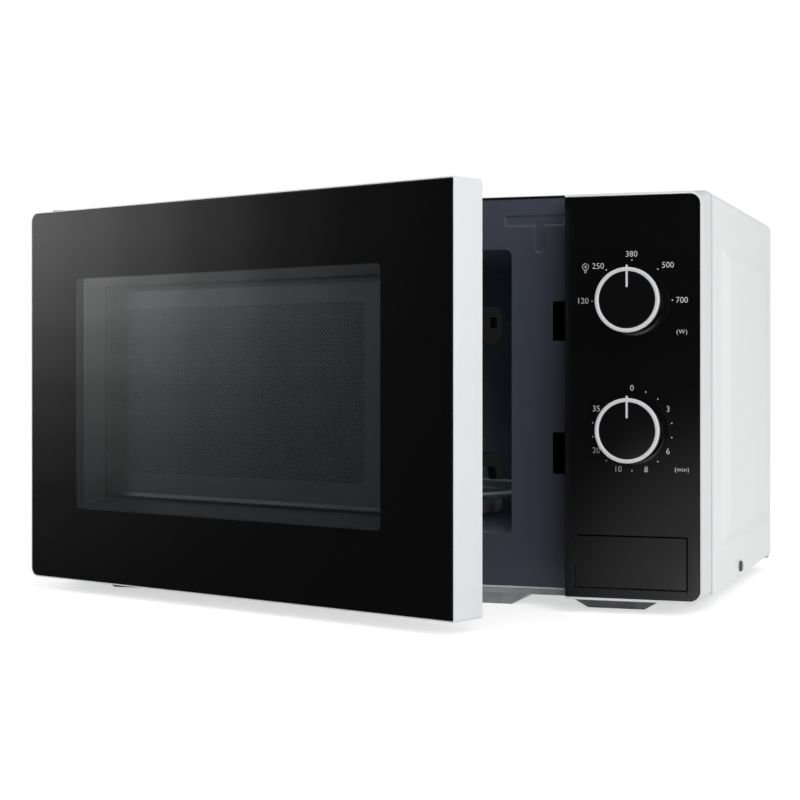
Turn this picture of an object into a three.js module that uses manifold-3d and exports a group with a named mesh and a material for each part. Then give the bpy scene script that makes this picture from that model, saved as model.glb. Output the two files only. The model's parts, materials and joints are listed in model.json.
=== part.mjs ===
// Countertop microwave oven with two turning dials, a release button and a side-hung door.
//
// Lengths are millimetres. The oven is laid out in its case frame: X runs from the hinge side to
// the control side with 0 at the middle of the case, Y runs back into the oven from the face of
// the control panel, and Z runs up from the feet. The door is laid out shut and then swung to its
// resting angle. The finished group is moved so that its origin is at the bottom centre of its box.

import * as THREE from 'three';
import { mergeVertices } from 'three/addons/utils/BufferGeometryUtils.js';
import Module from 'manifold-3d';

const wasm = await Module();
wasm.setup();

// ---------------------------------------------------------------------------------------------
// Driving sizes
// ---------------------------------------------------------------------------------------------

// Case
const caseWidth = 455;
const caseHeight = 261.5;
const caseDepth = 308;
const caseSheet = 0.8;
const cabinetCorner = 6;
const cabinetBottom = 10.6;
const screwTail = 9;
const screwCap = 1.8;
const embossRise = 2.5;
const embossFrontMargin = 33;
const embossRearMargin = 18;
const embossBottom = 36;
const embossTopMargin = 31.5;
const embossSlopeDepth = 25;
const embossSlopeHeight = 10;
const ventSlotLength = 22;
const ventSlotWidth = 3;
const ventPitch = 7;
const sideVentColumns = 8;
const sideVentRows = 2;
const sideScrewDepth = 151;
const sideScrewHeight = 17;
const sideScrewHead = 8;
const sideScrewShank = 4;
const baseSheet = 1;
const footHeight = 7.1;
const footWidth = 36;
const footLength = 38;
const footSlope = 13;
const footNose = 2.5;
const controlFootInset = 60;
const footEdgeMargin = 0.5;
const flangeHeight = 17;
const flangeFrontInset = 16;
const flangeRearInset = 20;
const baseVentMargin = 14;
const baseVentFront = 129.5;
const baseVentRows = 8;
const backPanelDepth = 12;
const fanSlotRows = 9;
const fanSlotPitch = 9.8;
const spacerDepth = 18;
const spacerWidth = 34;
const spacerDrop = 60;
const spacerWall = 2;
const spacerCorner = 5;
const glandRadius = 8;
const glandBore = 5;
const glandFlange = 4;
const glandFlangeDepth = 3;
const glandNose = 7;
const glandTail = 9;
const glandInset = 22;
const glandHeight = 30;

// Cavity and its front frame
const plateFront = 29.4;
const cavitySheet = 0.8;
const hingeMargin = 39.5;
const latchMargin = 40.6;
const cavityFloor = 43.8;
const cavityTopMargin = 32.9;
const cavityBackMargin = 16;
const openingLip = 1.5;
const openingCorner = 4.5;
const hingePocketWidth = 19;
const hingePocketDepth = 5.6;
const plateTail = 9.4;
const plateHem = 12;
const pocketHem = 14;
const frameBottomGap = 1.7;
const frameSideGap = 1.1;
const latchSlotWidth = 12.4;
const latchSlotMargin = 2.6;
const upperSlotHeight = 25;
const lowerSlotHeight = 26.3;
const upperSlotMiddle = 181;
const lowerSlotMiddle = 97.4;
const embossTeeHeight = 7;
const embossTeeStem = 6.3;
const embossTeeDrop = 12.7;
const embossTeeDepth = 1.2;
const embossTeeOverhang = 6;
const embossTeeTail = 4;
const embossTeeStemMargin = 16.8;
const embossTeeFoot = 4.2;
const leverNotchAbove = 6;
const leverNotchBelow = 14;
const airHole = 4;
const airHolePitch = 8;
const airHoleColumns = 4;
const airHoleRows = 3;
const shaftHoleRadius = 6;
const feedCoverThickness = 0.5;
const feedCoverMargin = 14;
const hingePlateThickness = 1.2;
const hingePlateHeight = 30;
const hingePlateMargin = 3.5;
const hingeArmThickness = 2;
const hingeArmReach = 8;
const hingePinLength = 17;

// Control panel
const panelWidth = 84.9;
const panelDepth = 36;
const panelBottom = 9;
const panelTopMargin = 3.7;
const panelWall = 2.2;
const panelRim = 1.8;
const panelCorner = 7.8;
const fasciaThickness = 2.5;
const powerDialMargin = 69.4;
const dialSpacing = 78.7;
const dialInset = 43;
const knobRadius = 20;
const knobHeight = 16;
const knobRingWidth = 2.7;
const knobRingDepth = 3;
const knobFaceInset = 0.8;
const knobFaceThickness = 4;
const knobFloorGap = 0.6;
const pointerLength = 12.5;
const pointerWidth = 1.2;
const pointerDepth = 0.5;
const shaftRadius = 3;
const shaftRoot = 3.5;
const fasciaHoleGap = 1;
const timerUnitWidth = 57;
const timerUnitDrop = 24;
const timerUnitRise = 23;
const timerUnitDepth = 37.7;
const timerUnitCorner = 4;
const timerMotorRadius = 24;
const timerMotorDepth = 12;
const timerMotorRise = 6;
const timerCapRadius = 8;
const timerCapDepth = 2;
const bellRadius = 18;
const bellDepth = 10;
const bellThickness = 2;
const bellDrop = 2;
const buttonWidth = 68.3;
const buttonHeight = 31.4;
const buttonSide = 9.7;
const buttonBottom = 16.9;
const buttonGroove = 0.7;
const buttonTravel = 5.5;
const buttonSkirt = 12;
const buttonSpringShut = 10.5;
const buttonWall = 1.6;
const buttonRibHeight = 4;
const buttonSpringInset = 46.1;
const buttonSpringRadius = 5;
const buttonSpringWire = 0.5;
const buttonSpringTurns = 5;
const springPostThickness = 2;
const springPostWidth = 18;
const springPostRise = 10;

// Door
const doorThickness = 26.5;
const doorGap = 1;
const doorWall = 2.4;
const glassThickness = 3.2;
const glassRim = 1.1;
const doorHingeCorner = 6;
const doorFreeCorner = 1.6;
const windowHeight = 153.9;
const windowHingeMargin = 47.4;
const windowLatchMargin = 53.7;
const windowBottom = 57.5;
const windowCorner = 2.5;
const tunnelWall = 1.6;
const doorWeb = 2;
const hingeBossHeight = 21;
const hingeBossEdge = 1;
const hingeBossWall = 4;
const hingeBossDepth = 7;
const hingeBoreDepth = 19;
const screenRecess = 3.9;
const chokeRecess = 2.1;
const screenHingeInset = 18;
const screenLatchGap = 15;
const screenEdgeInset = 15;
const chokeGap = 4.5;
const chokeFingerRoot = 3;
const chokePitch = 28;
const chokeSlot = 17;
const coverWindowInset = 4.5;
const doorAjar = 20.8;
const hingeInset = 10;
const hingeDepth = 22;
const hingePinRadius = 2.5;
const latchKeyThickness = 6;
const latchTravel = 4;
const latchReach = 25;
const latchBarDepth = 5;
const latchHookRise = 5;
const upperHookDrop = 12;
const lowerHookDrop = 8;
const upperBarb = 16.2;
const lowerLeg = 10.8;
const latchEye = 6;
const latchGuideHeight = 4;
const latchSpringLength = 26;
const latchSpringRadius = 2.6;
const latchSpringWire = 0.45;
const latchSpringTurns = 6;

// Turntable
const trayRadius = 122.5;
const trayThickness = 4;
const trayRimHeight = 8;
const rollerRadius = 7;
const rollerWidth = 6;
const rollerOrbit = 95;
const rollerAxleRadius = 1.6;
const rollerBoreGap = 0.1;
const hoopWidth = 7;
const hoopHeight = 6;
const hoopGap = 3;
const axleTail = 1.5;
const trayFlatMargin = 26;
const trayBend = 10;
const trayRimWidth = 2.5;
const lobeLength = 16;
const lobeWidth = 7;
const lobeHeight = 6;
const couplerRadius = 9;
const lugOrbit = 15;
const lugRadius = 3;
const lugDepth = 4;
const tableMotorRadius = 25;
const tableMotorDepth = 15;
const tableMotorBore = 12;
const tableMotorEar = 34;
const tableMotorEarWidth = 12;

// Machinery
const latchBodyMargin = 5;
const latchPocketAbove = 3;
const latchPocketBelow = 8;
const latchBodyAbove = 12;
const latchBodyBelow = 10;
const latchBodyWall = 3;
const latchPocketRoom = 5.5;
const leverEar = 4;
const leverAxleRadius = 3;
const plungerRadius = 1.6;
const leverWidth = 8;
const leverThickness = 3;
const leverFingerWidth = 7;
const switchWidth = 16;
const switchHeight = 28;
const switchDepth = 10;
const leverArm = 17.8;
const leverPivotHeight = 60;
const leverPivotDepth = 35.5;
const magnetronHeight = 88;
const magnetronWidth = 62;
const transformerWidth = 90;
const transformerDepth = 60;
const transformerHeight = 75;
const transformerFront = 92;
const waveguideWall = 1;
const waveguideMargin = 6;
const waveguideDepth = 24;
const waveguideHole = 13;
const feedDepth = 60;
const feedHeight = 52;
const feedRise = 96;
const feedForward = 28;
const yokeDepth = 66;
const yokeSheet = 1.6;
const yokeHole = 10;
const anodeRadius = 18;
const finMargin = 6;
const finPitch = 8;
const finThickness = 1.2;
const finDepth = 60;
const finHeight = 82;
const antennaRadius = 6.5;
const antennaLength = 16;
const antennaTaper = 3;
const stemRadius = 8;
const stemLength = 6;
const filterDepth = 24;
const filterWidth = 54;
const filterHeight = 52;
const filterPlugWidth = 12;
const filterPlugHeight = 16;
const filterPlugDepth = 9;
const capacitorWidth = 52;
const capacitorDepth = 33;
const capacitorHeight = 88;
const capacitorInset = 14;
const capacitorGap = 32;
const bladeWidth = 6;
const bladeThickness = 0.8;
const bladeHeight = 8;
const strapWidth = 12;
const strapRise = 34;
const strapSheet = 1;
const strapFoot = 14;
const diodeRadius = 3;
const diodeLength = 22;
const diodeGap = 18;
const diodeWire = 0.8;
const diodeLead = 10;
const diodeTag = 8;
const fanRadius = 50;
const fanDrop = 95;
const fanMouthGap = 3;
const fanBlades = 5;
const fanBladeDepth = 26;
const fanBladeThickness = 1.4;
const fanBladePitch = 0.6;
const fanBladeRoot = 8;
const fanHubRadius = 11;
const fanHubFront = 4;
const fanHubDepth = 16;
const fanShaftRadius = 2.5;
const fanShaftFront = 7;
const shroudInset = 46;
const shroudSheet = 1.2;
const shroudBelow = 58;
const shroudAbove = 62;
const shroudFlange = 14;
const shroudBar = 14;
const fanMotorWidth = 56;
const fanMotorHeight = 44;
const fanMotorDepth = 20;
const bobbinWidth = 40;
const bobbinHeight = 9;
const bobbinFront = 6;
const lampRise = 28;
const lampBehind = 60;
const lampSocketRadius = 13;
const lampSocketWall = 2.5;
const lampSocketDepth = 20;
const lampNeckRadius = 8;
const lampNeckDepth = 12;
const bulbRadius = 7.5;
const bulbNeckRadius = 5.5;
const bulbLength = 22.7;
const thermostatRadius = 9;
const thermostatHeight = 7;
const thermostatEar = 28;
const thermostatInset = 34;
const boardWidth = 56;
const boardHeight = 68;
const boardSheet = 1.6;
const boardGap = 8;
const boardPost = 2.5;
const boardRise = 14;
const boardInset = 12;

// Clearances
const seat = 0.3;
const running = 0.3;

// ---------------------------------------------------------------------------------------------
// Layout worked out from the driving sizes
// ---------------------------------------------------------------------------------------------

const caseLeft = -caseWidth / 2;
const caseRight = caseWidth / 2;
const innerLeft = caseLeft + caseSheet + seat;
const innerRight = caseRight - caseSheet - seat;
const innerTop = caseHeight - caseSheet - seat;
const panelLeft = caseRight - panelWidth;
const panelTop = caseHeight - panelTopMargin;
const cabinetFront = panelDepth + seat;
const baseTop = footHeight + baseSheet;
const plateBack = plateFront + cavitySheet;
const plateRight = panelLeft + plateTail;
const pocketEdge = innerLeft + hingePocketWidth;
const pocketFace = plateFront + hingePocketDepth;
const cavityLeft = caseLeft + hingeMargin;
const cavityRight = panelLeft - latchMargin;
const cavityTop = caseHeight - cavityTopMargin;
const cavityFront = plateBack + seat;
const cavityBack = caseDepth - cavityBackMargin;
const backFace = caseDepth - caseSheet;
const doorLeft = caseLeft;
const doorRight = panelLeft - doorGap;
const doorBottom = panelBottom;
const doorTop = panelTop;
const hingeX = doorLeft + hingeInset;
const hingeY = hingeDepth;
const dialX = caseRight - dialInset;
const powerDialZ = caseHeight - powerDialMargin;
const timerDialZ = powerDialZ - dialSpacing;
const slotRight = panelLeft - latchSlotMargin;
const slotLeft = slotRight - latchSlotWidth;
const latchKeyX = (slotLeft + slotRight) / 2;
const turntableX = (cavityLeft + cavityRight) / 2;
const turntableY = (cavityFront + cavityBack) / 2;
const rollerZ = cavityFloor + running + rollerRadius;
const trayBottom = rollerZ + rollerRadius + running;
const buttonLeft = caseRight - buttonSide - buttonWidth;
const springX = buttonLeft + buttonSpringInset;
const springZ = buttonBottom + buttonHeight / 2;
const springSeat = buttonSkirt + buttonTravel + buttonSpringShut;
const leverArmX = plateRight + 1.5;
const timerUnitFront = fasciaThickness + seat + panelWall + seat;
const timerUnitBack = timerUnitFront + timerUnitDepth;
const pocketBack = doorThickness + latchReach + latchPocketRoom;
const latchBodyBack = pocketBack + latchBodyWall;
const switchHeights = [lowerSlotMiddle, (lowerSlotMiddle + upperSlotMiddle) / 2, upperSlotMiddle];
const bayLeft = cavityRight + cavitySheet;
const bayMiddle = (bayLeft + innerRight) / 2;
const fanX = bayMiddle;
const fanZ = caseHeight - fanDrop;
const glandX = innerRight - glandInset;
const glandZ = baseTop + glandHeight;
const lampY = cavityFront + lampBehind;
const lampZ = cavityTop - lampRise;
const feedFront = turntableY - feedForward;
const feedBottom = cavityFloor + feedRise;
const magnetronLeft = bayLeft + seat + waveguideDepth + seat;
const magnetronY = feedFront + feedDepth / 2;
const magnetronZ = feedBottom - waveguideMargin + magnetronHeight / 2;
const transformerY = transformerFront;
const capacitorX = bayLeft + capacitorInset;
const capacitorY = transformerY + transformerDepth + capacitorGap;
const shroudFront = caseDepth - shroudInset;
const windowLeft = doorLeft + windowHingeMargin;
const windowWidth = doorRight - windowLatchMargin - windowLeft;
const windowTop = windowBottom + windowHeight;
const doorWebBack = glassThickness + seat + doorWeb;
const screenFront = doorThickness - screenRecess;
const screenBack = screenFront + caseSheet;
const chokeFront = doorThickness - chokeRecess;
const hookBack = doorThickness + latchReach;
const latchBarFront = 12;
const latchSpringFoot = lowerSlotMiddle - lowerHookDrop - latchSpringLength;

// ---------------------------------------------------------------------------------------------
// Finishes
// ---------------------------------------------------------------------------------------------

const finishes = {
  whitePaint: { color: 0xe6e7e8, roughness: 0.35, metalness: 0 },
  whitePlastic: { color: 0xe4e5e6, roughness: 0.3, metalness: 0 },
  galvanised: { color: 0xa4a8a8, roughness: 0.45, metalness: 0.9 },
  enamel: { color: 0x32343e, roughness: 0.35, metalness: 0 },
  blackGloss: { color: 0x0c0c0d, roughness: 0.1, metalness: 0 },
  blackPlastic: { color: 0x17181a, roughness: 0.45, metalness: 0 },
  satinMetal: { color: 0xc4c6c8, roughness: 0.3, metalness: 1 },
  steel: { color: 0xb0b3b6, roughness: 0.35, metalness: 1 },
  doorGlass: { color: 0x101214, roughness: 0.05, metalness: 0, transparent: true, opacity: 0.6 },
  clearGlass: { color: 0xdfe8e8, roughness: 0.05, metalness: 0, transparent: true, opacity: 0.4 },
  clearFilm: { color: 0xd8dcdc, roughness: 0.15, metalness: 0, transparent: true, opacity: 0.4 },
  naturalPlastic: { color: 0xe9e6dc, roughness: 0.5, metalness: 0 },
  lamination: { color: 0x5c6064, roughness: 0.55, metalness: 0.8 },
  copper: { color: 0xb4653a, roughness: 0.35, metalness: 1 },
  aluminium: { color: 0xc8cacc, roughness: 0.4, metalness: 1 },
  mica: { color: 0xb9ab8c, roughness: 0.6, metalness: 0 },
  circuitBoard: { color: 0x9a7b4a, roughness: 0.6, metalness: 0 },
};

// ---------------------------------------------------------------------------------------------
// Solid-making helpers
// ---------------------------------------------------------------------------------------------

// Turns a closed geometry into a solid, leaving out triangles that collapsed on a turning axis.
function solidFrom(geometry) {
  geometry.deleteAttribute('normal');
  geometry.deleteAttribute('uv');
  const merged = mergeVertices(geometry, 1e-4);
  const corners = merged.index.array;
  const kept = [];
  for (let i = 0; i < corners.length; i += 3) {
    const [a, b, c] = corners.slice(i, i + 3);
    if (a !== b && b !== c && c !== a) kept.push(a, b, c);
  }
  const vertProperties = new Float32Array(merged.attributes.position.array);
  const triVerts = new Uint32Array(kept);
  return new wasm.Manifold(new wasm.Mesh({ numProp: 3, vertProperties, triVerts }));
}

function join(...solids) {
  return solids.reduce((whole, next) => whole.add(next));
}

function cut(solid, ...tools) {
  return tools.reduce((whole, tool) => whole.subtract(tool), solid);
}

// A box given by its lowest and highest value along each axis.
function block(x0, x1, y0, y1, z0, z1) {
  const geometry = new THREE.BoxGeometry(x1 - x0, y1 - y0, z1 - z0);
  geometry.translate((x0 + x1) / 2, (y0 + y1) / 2, (z0 + z1) / 2);
  return solidFrom(geometry);
}

// An outline swept along an axis. Its two coordinates are (y, z), (x, z) or (x, y).
function prism(shape, axis, low, high, curveSegments = 6) {
  const depth = high - low;
  const geometry = new THREE.ExtrudeGeometry(shape, { depth, bevelEnabled: false, curveSegments });
  if (axis === 'x') {
    const turn = new THREE.Matrix4();
    turn.makeBasis(new THREE.Vector3(0, 1, 0), new THREE.Vector3(0, 0, 1), new THREE.Vector3(1, 0, 0));
    geometry.applyMatrix4(turn);
    geometry.translate(low, 0, 0);
  } else if (axis === 'y') {
    geometry.rotateX(Math.PI / 2);
    geometry.translate(0, high, 0);
  } else {
    geometry.translate(0, 0, low);
  }
  return solidFrom(geometry);
}

function outline(points) {
  return new THREE.Shape(points.map(([u, v]) => new THREE.Vector2(u, v)));
}

// A rectangle with its own radius at each corner: low-low, high-low, high-high, low-high.
function roundedRectangle(u0, u1, v0, v1, radii) {
  const [ll, hl, hh, lh] = radii;
  const shape = new THREE.Shape();
  shape.moveTo(u0 + ll, v0);
  shape.lineTo(u1 - hl, v0);
  if (hl > 0) shape.absarc(u1 - hl, v0 + hl, hl, -Math.PI / 2, 0);
  shape.lineTo(u1, v1 - hh);
  if (hh > 0) shape.absarc(u1 - hh, v1 - hh, hh, 0, Math.PI / 2);
  shape.lineTo(u0 + lh, v1);
  if (lh > 0) shape.absarc(u0 + lh, v1 - lh, lh, Math.PI / 2, Math.PI);
  shape.lineTo(u0, v0 + ll);
  if (ll > 0) shape.absarc(u0 + ll, v0 + ll, ll, Math.PI, Math.PI * 1.5);
  return shape;
}

// A round bar along an axis through (a, b), the other two coordinates in X, Y, Z order.
function rod(axis, radius, low, high, a, b, segments = 24) {
  const profile = [[0, low], [radius, low], [radius, high], [0, high]];
  return turned(axis, profile, a, b, segments);
}

// A profile of (radius, distance along the axis) turned about an axis through (a, b).
function turned(axis, profile, a, b, segments = 32) {
  const points = profile.map(([r, h]) => new THREE.Vector2(r, h));
  const geometry = new THREE.LatheGeometry(points, segments);
  if (axis === 'x') {
    geometry.rotateZ(-Math.PI / 2);
    geometry.translate(0, a, b);
  } else if (axis === 'y') {
    geometry.translate(a, 0, b);
  } else {
    geometry.rotateX(Math.PI / 2);
    geometry.translate(a, b, 0);
  }
  return solidFrom(geometry);
}

// A block whose two ends differ: each end is [low u, high u, low v, high v] across the axis.
function frustum(axis, lowEnd, low, highEnd, high) {
  const corners = ([u0, u1, v0, v1], w) => [[u0, v0, w], [u1, v0, w], [u1, v1, w], [u0, v1, w]];
  const points = [...corners(lowEnd, low), ...corners(highEnd, high)];
  const faces = [[0, 3, 2, 1], [4, 5, 6, 7], [0, 1, 5, 4], [1, 2, 6, 5], [2, 3, 7, 6], [3, 0, 4, 7]];
  const place = ([u, v, w]) => (axis === 'x' ? [w, u, v] : [u, v, w]);
  const geometry = new THREE.BufferGeometry();
  geometry.setAttribute('position', new THREE.BufferAttribute(new Float32Array(points.flatMap(place)), 3));
  geometry.setIndex(faces.flatMap(([a, b, c, d]) => [a, b, c, a, c, d]));
  return solidFrom(geometry);
}

// A wire spring along an axis, made as one swept tube.
function coil(axis, wire, radius, low, high, a, b, turns) {
  const step = 8;
  const path = [];
  for (let i = 0; i <= turns * step; i += 1) {
    const angle = (i / step) * Math.PI * 2;
    const along = low + wire + ((high - low - 2 * wire) * i) / (turns * step);
    const u = radius * Math.cos(angle);
    const v = radius * Math.sin(angle);
    const point = axis === 'y' ? [a + u, along, b + v] : [a + u, b + v, along];
    path.push(new THREE.Vector3(...point));
  }
  const section = new THREE.Shape();
  section.absarc(0, 0, wire, 0, Math.PI * 2);
  const extrudePath = new THREE.CatmullRomCurve3(path);
  const steps = turns * step;
  return solidFrom(new THREE.ExtrudeGeometry(section, { steps, curveSegments: 3, extrudePath }));
}

// Copies of one cutter or boss over a grid; make(i, j) gives the copy in column i and row j.
function grid(across, down, make) {
  const copies = [];
  for (let i = 0; i < across; i += 1) {
    for (let j = 0; j < down; j += 1) copies.push(make(i, j));
  }
  return join(...copies);
}

function addPart(parent, name, solid, finish) {
  const result = solid.getMesh();
  const geometry = new THREE.BufferGeometry();
  geometry.setAttribute('position', new THREE.BufferAttribute(result.vertProperties, 3));
  geometry.setIndex(new THREE.BufferAttribute(result.triVerts, 1));
  geometry.computeVertexNormals();
  const mesh = new THREE.Mesh(geometry, new THREE.MeshStandardMaterial(finishes[finish]));
  mesh.name = name;
  parent.add(mesh);
}

// ---------------------------------------------------------------------------------------------
// Case
// ---------------------------------------------------------------------------------------------

// The cabinet's section: a square-bottomed block with rounded top corners, drawn in from the case.
function cabinetSection(inset, bottom) {
  const radius = cabinetCorner - inset;
  return roundedRectangle(
    caseLeft + inset,
    caseRight - inset,
    bottom,
    caseHeight - inset,
    [0, 0, radius, radius],
  );
}

// One raised side panel with sloping edges; the same shape moved inwards hollows it out.
function sideEmboss(side, inset) {
  const y0 = cabinetFront + embossFrontMargin;
  const y1 = caseDepth - embossRearMargin;
  const z0 = embossBottom;
  const z1 = caseHeight - embossTopMargin;
  const wide = [y0, y1, z0, z1];
  const dy = embossSlopeDepth;
  const dz = embossSlopeHeight;
  const narrow = [y0 + dy, y1 - dy, z0 + dz, z1 - dz];
  const face = caseWidth / 2 - inset;
  if (side > 0) return frustum('x', wide, face, narrow, face + embossRise);
  return frustum('x', narrow, -face - embossRise, wide, -face);
}

// Air outlet slots through the hinge-side panel, near the rear.
function sideVents() {
  const rearmost = caseDepth - embossRearMargin - embossSlopeDepth - 2 * ventSlotWidth;
  const lowest = embossBottom + 2 * embossSlopeHeight;
  return grid(sideVentColumns, sideVentRows, (i, j) => {
    const y = rearmost - i * ventPitch;
    const z = lowest + j * (ventSlotLength + ventPitch);
    const x = caseLeft - embossRise - seat;
    return block(x, x + 3 * embossRise, y - ventSlotWidth, y, z, z + ventSlotLength);
  });
}

// One hole on each side for the screws that hold the cabinet to the base.
function sideScrewHoles() {
  const reach = caseRight + embossRise + 1;
  return rod('x', sideScrewShank / 2 + seat, -reach, reach, sideScrewDepth, sideScrewHeight);
}

function makeCabinet() {
  const outside = prism(cabinetSection(0, cabinetBottom), 'y', cabinetFront, caseDepth);
  const raised = join(outside, sideEmboss(1, 0), sideEmboss(-1, 0));
  const section = cabinetSection(caseSheet, cabinetBottom - 1);
  const inside = prism(section, 'y', cabinetFront - 1, caseDepth + 1);
  const hollow = join(inside, sideEmboss(1, caseSheet), sideEmboss(-1, caseSheet));
  return cut(raised, hollow, sideScrewHoles(), sideVents());
}

function makeSideScrew(side) {
  const face = caseRight + 0.05;
  const head = sideScrewHead / 2;
  const shank = sideScrewShank / 2;
  const tip = face - screwTail;
  const profile = [
    [0, tip],
    [shank, tip],
    [shank, face],
    [head, face],
    [head * 0.8, face + screwCap],
    [0, face + screwCap],
  ];
  const mirrored = profile.map(([r, h]) => [r, -h]).reverse();
  return turned('x', side > 0 ? profile : mirrored, sideScrewDepth, sideScrewHeight, 16);
}

// The two ends of a pressed foot, drawn out or in from its footprint on the floor.
function footEnds([x, y], grow) {
  const w = footWidth / 2 + grow;
  const l = footLength / 2 + grow;
  const low = [x - w, x + w, y - l, y + l];
  const high = [x - w - footSlope, x + w + footSlope, y - l - footNose, y + l + footNose];
  return { low, high };
}

function footCentres() {
  const front = plateBack + seat + footNose + footLength / 2 + footEdgeMargin;
  const rear = caseDepth - front;
  const controlFoot = caseRight - controlFootInset;
  const hingeFoot = caseLeft + controlFootInset;
  const middleFoot = 2 * turntableX - hingeFoot;
  const frontFeet = [hingeFoot, middleFoot, controlFoot].map((x) => [x, front]);
  const rearFeet = [hingeFoot, controlFoot].map((x) => [x, rear]);
  return [...frontFeet, ...rearFeet];
}

function makeBasePlate() {
  const front = plateBack + seat;
  const rear = backFace - caseSheet - seat;
  const sheet = block(innerLeft, innerRight, front, rear, footHeight, baseTop);
  const feet = footCentres().map((centre) => {
    const { low, high } = footEnds(centre, 0);
    return frustum('z', low, 0, high, footHeight + baseSheet / 2);
  });
  const cups = footCentres().map((centre) => {
    const { low, high } = footEnds(centre, -baseSheet);
    return frustum('z', low, baseSheet, high, baseTop + 0.01);
  });
  const flangeTop = footHeight + flangeHeight;
  const sideFront = cabinetFront + flangeFrontInset;
  const sideRear = caseDepth - flangeRearInset;
  const frameLeft = pocketEdge + baseSheet;
  const flanges = [
    block(innerLeft, innerLeft + baseSheet, sideFront, sideRear, footHeight, flangeTop),
    block(innerRight - baseSheet, innerRight, sideFront, sideRear, footHeight, flangeTop),
    block(frameLeft, panelLeft - seat, front, front + baseSheet, footHeight, flangeTop),
  ];
  const notch = block(innerLeft - 1, frameLeft, front - 1, cabinetFront, footHeight - 1, baseTop + 1);
  const vents = grid(2, baseVentRows, (i, j) => {
    const x = cavityRight + baseVentMargin + i * (ventSlotLength + ventPitch);
    const y = baseVentFront + j * ventPitch;
    return block(x, x + ventSlotLength, y, y + ventSlotWidth, footHeight - 1, baseTop + 1);
  });
  return cut(join(sheet, ...feet, ...flanges), ...cups, notch, sideScrewHoles(), vents);
}

// Rear cover: a shallow pan that opens forwards, with the fan's inlet slots and the mains gland.
function makeBackPanel() {
  const front = backFace - backPanelDepth;
  const bottom = baseTop + seat;
  const pan = block(innerLeft, innerRight, front, backFace, bottom, innerTop);
  const wall = caseSheet;
  const hollow = block(
    innerLeft + wall,
    innerRight - wall,
    front - 1,
    backFace - wall,
    bottom + wall,
    innerTop - wall,
  );
  const corners = prism(cabinetSection(caseSheet + seat, bottom), 'y', front, backFace);
  const slotsWide = 3 * ventSlotLength + 2 * ventPitch;
  const slotsHigh = (fanSlotRows - 1) * fanSlotPitch + ventSlotWidth;
  const fanSlots = grid(3, fanSlotRows, (i, j) => {
    const x = fanX - slotsWide / 2 + i * (ventSlotLength + ventPitch);
    const z = fanZ - slotsHigh / 2 + j * fanSlotPitch;
    return block(x, x + ventSlotLength, backFace - 2, backFace + 1, z, z + ventSlotWidth);
  });
  const gland = rod('y', glandRadius + seat, backFace - 5, backFace + 5, glandX, glandZ, 20);
  return cut(pan.intersect(corners), hollow, fanSlots, gland);
}

// Keeps the oven off the wall behind it: a hollow plastic stand-off, open at the front.
function makeRearSpacer(x) {
  const face = backFace + seat;
  const end = face + spacerDepth;
  const z = caseHeight - spacerDrop;
  const square = (half, radius) =>
    roundedRectangle(x - half, x + half, z - half, z + half, [radius, radius, radius, radius]);
  const outer = square(spacerWidth / 2, spacerCorner);
  const inner = square(spacerWidth / 2 - spacerWall, spacerCorner - spacerWall);
  return cut(prism(outer, 'y', face, end), prism(inner, 'y', face - 1, end - spacerWall));
}

// The bush that the mains lead passes through: a flanged sleeve in the rear cover.
function makeCordGland() {
  const tail = backFace - caseSheet - seat - glandTail;
  const face = backFace + seat;
  const profile = [
    [glandBore, tail],
    [glandRadius, tail],
    [glandRadius, face],
    [glandRadius + glandFlange, face],
    [glandRadius + glandFlange, face + glandFlangeDepth],
    [glandRadius, face + glandNose],
    [glandBore, face + glandNose],
    [glandBore, tail],
  ];
  return turned('y', profile, glandX, glandZ, 20);
}

// ---------------------------------------------------------------------------------------------
// Cavity and front frame
// ---------------------------------------------------------------------------------------------

// The raised T at the frame's top corner, as an outline drawn out by grow.
function embossTee(grow) {
  const top = caseHeight - embossTeeDrop + grow;
  const armBottom = caseHeight - embossTeeDrop - embossTeeHeight - grow;
  const left = cavityRight - embossTeeOverhang - grow;
  const right = panelLeft + embossTeeTail + grow;
  const stemMiddle = cavityRight + embossTeeStemMargin;
  const half = embossTeeStem / 2 + grow;
  const foot = cavityTop - embossTeeFoot - grow;
  const shape = new THREE.Shape();
  shape.moveTo(stemMiddle - half, armBottom);
  shape.lineTo(stemMiddle - half, foot + half);
  shape.absarc(stemMiddle, foot + half, half, Math.PI, 2 * Math.PI);
  shape.lineTo(stemMiddle + half, armBottom);
  shape.lineTo(right, armBottom);
  shape.lineTo(right, top);
  shape.lineTo(left, top);
  shape.lineTo(left, armBottom);
  return shape;
}

function openingOutline(inset) {
  const radius = openingCorner;
  return roundedRectangle(
    cavityLeft + openingLip + inset,
    cavityRight - openingLip - inset,
    cavityFloor + openingLip + inset,
    cavityTop - openingLip - inset,
    [radius, radius, radius, radius],
  );
}

function latchSlot(middle, height) {
  const half = height / 2;
  return block(slotLeft, slotRight, plateFront - 1, plateBack + 1, middle - half, middle + half);
}

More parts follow.
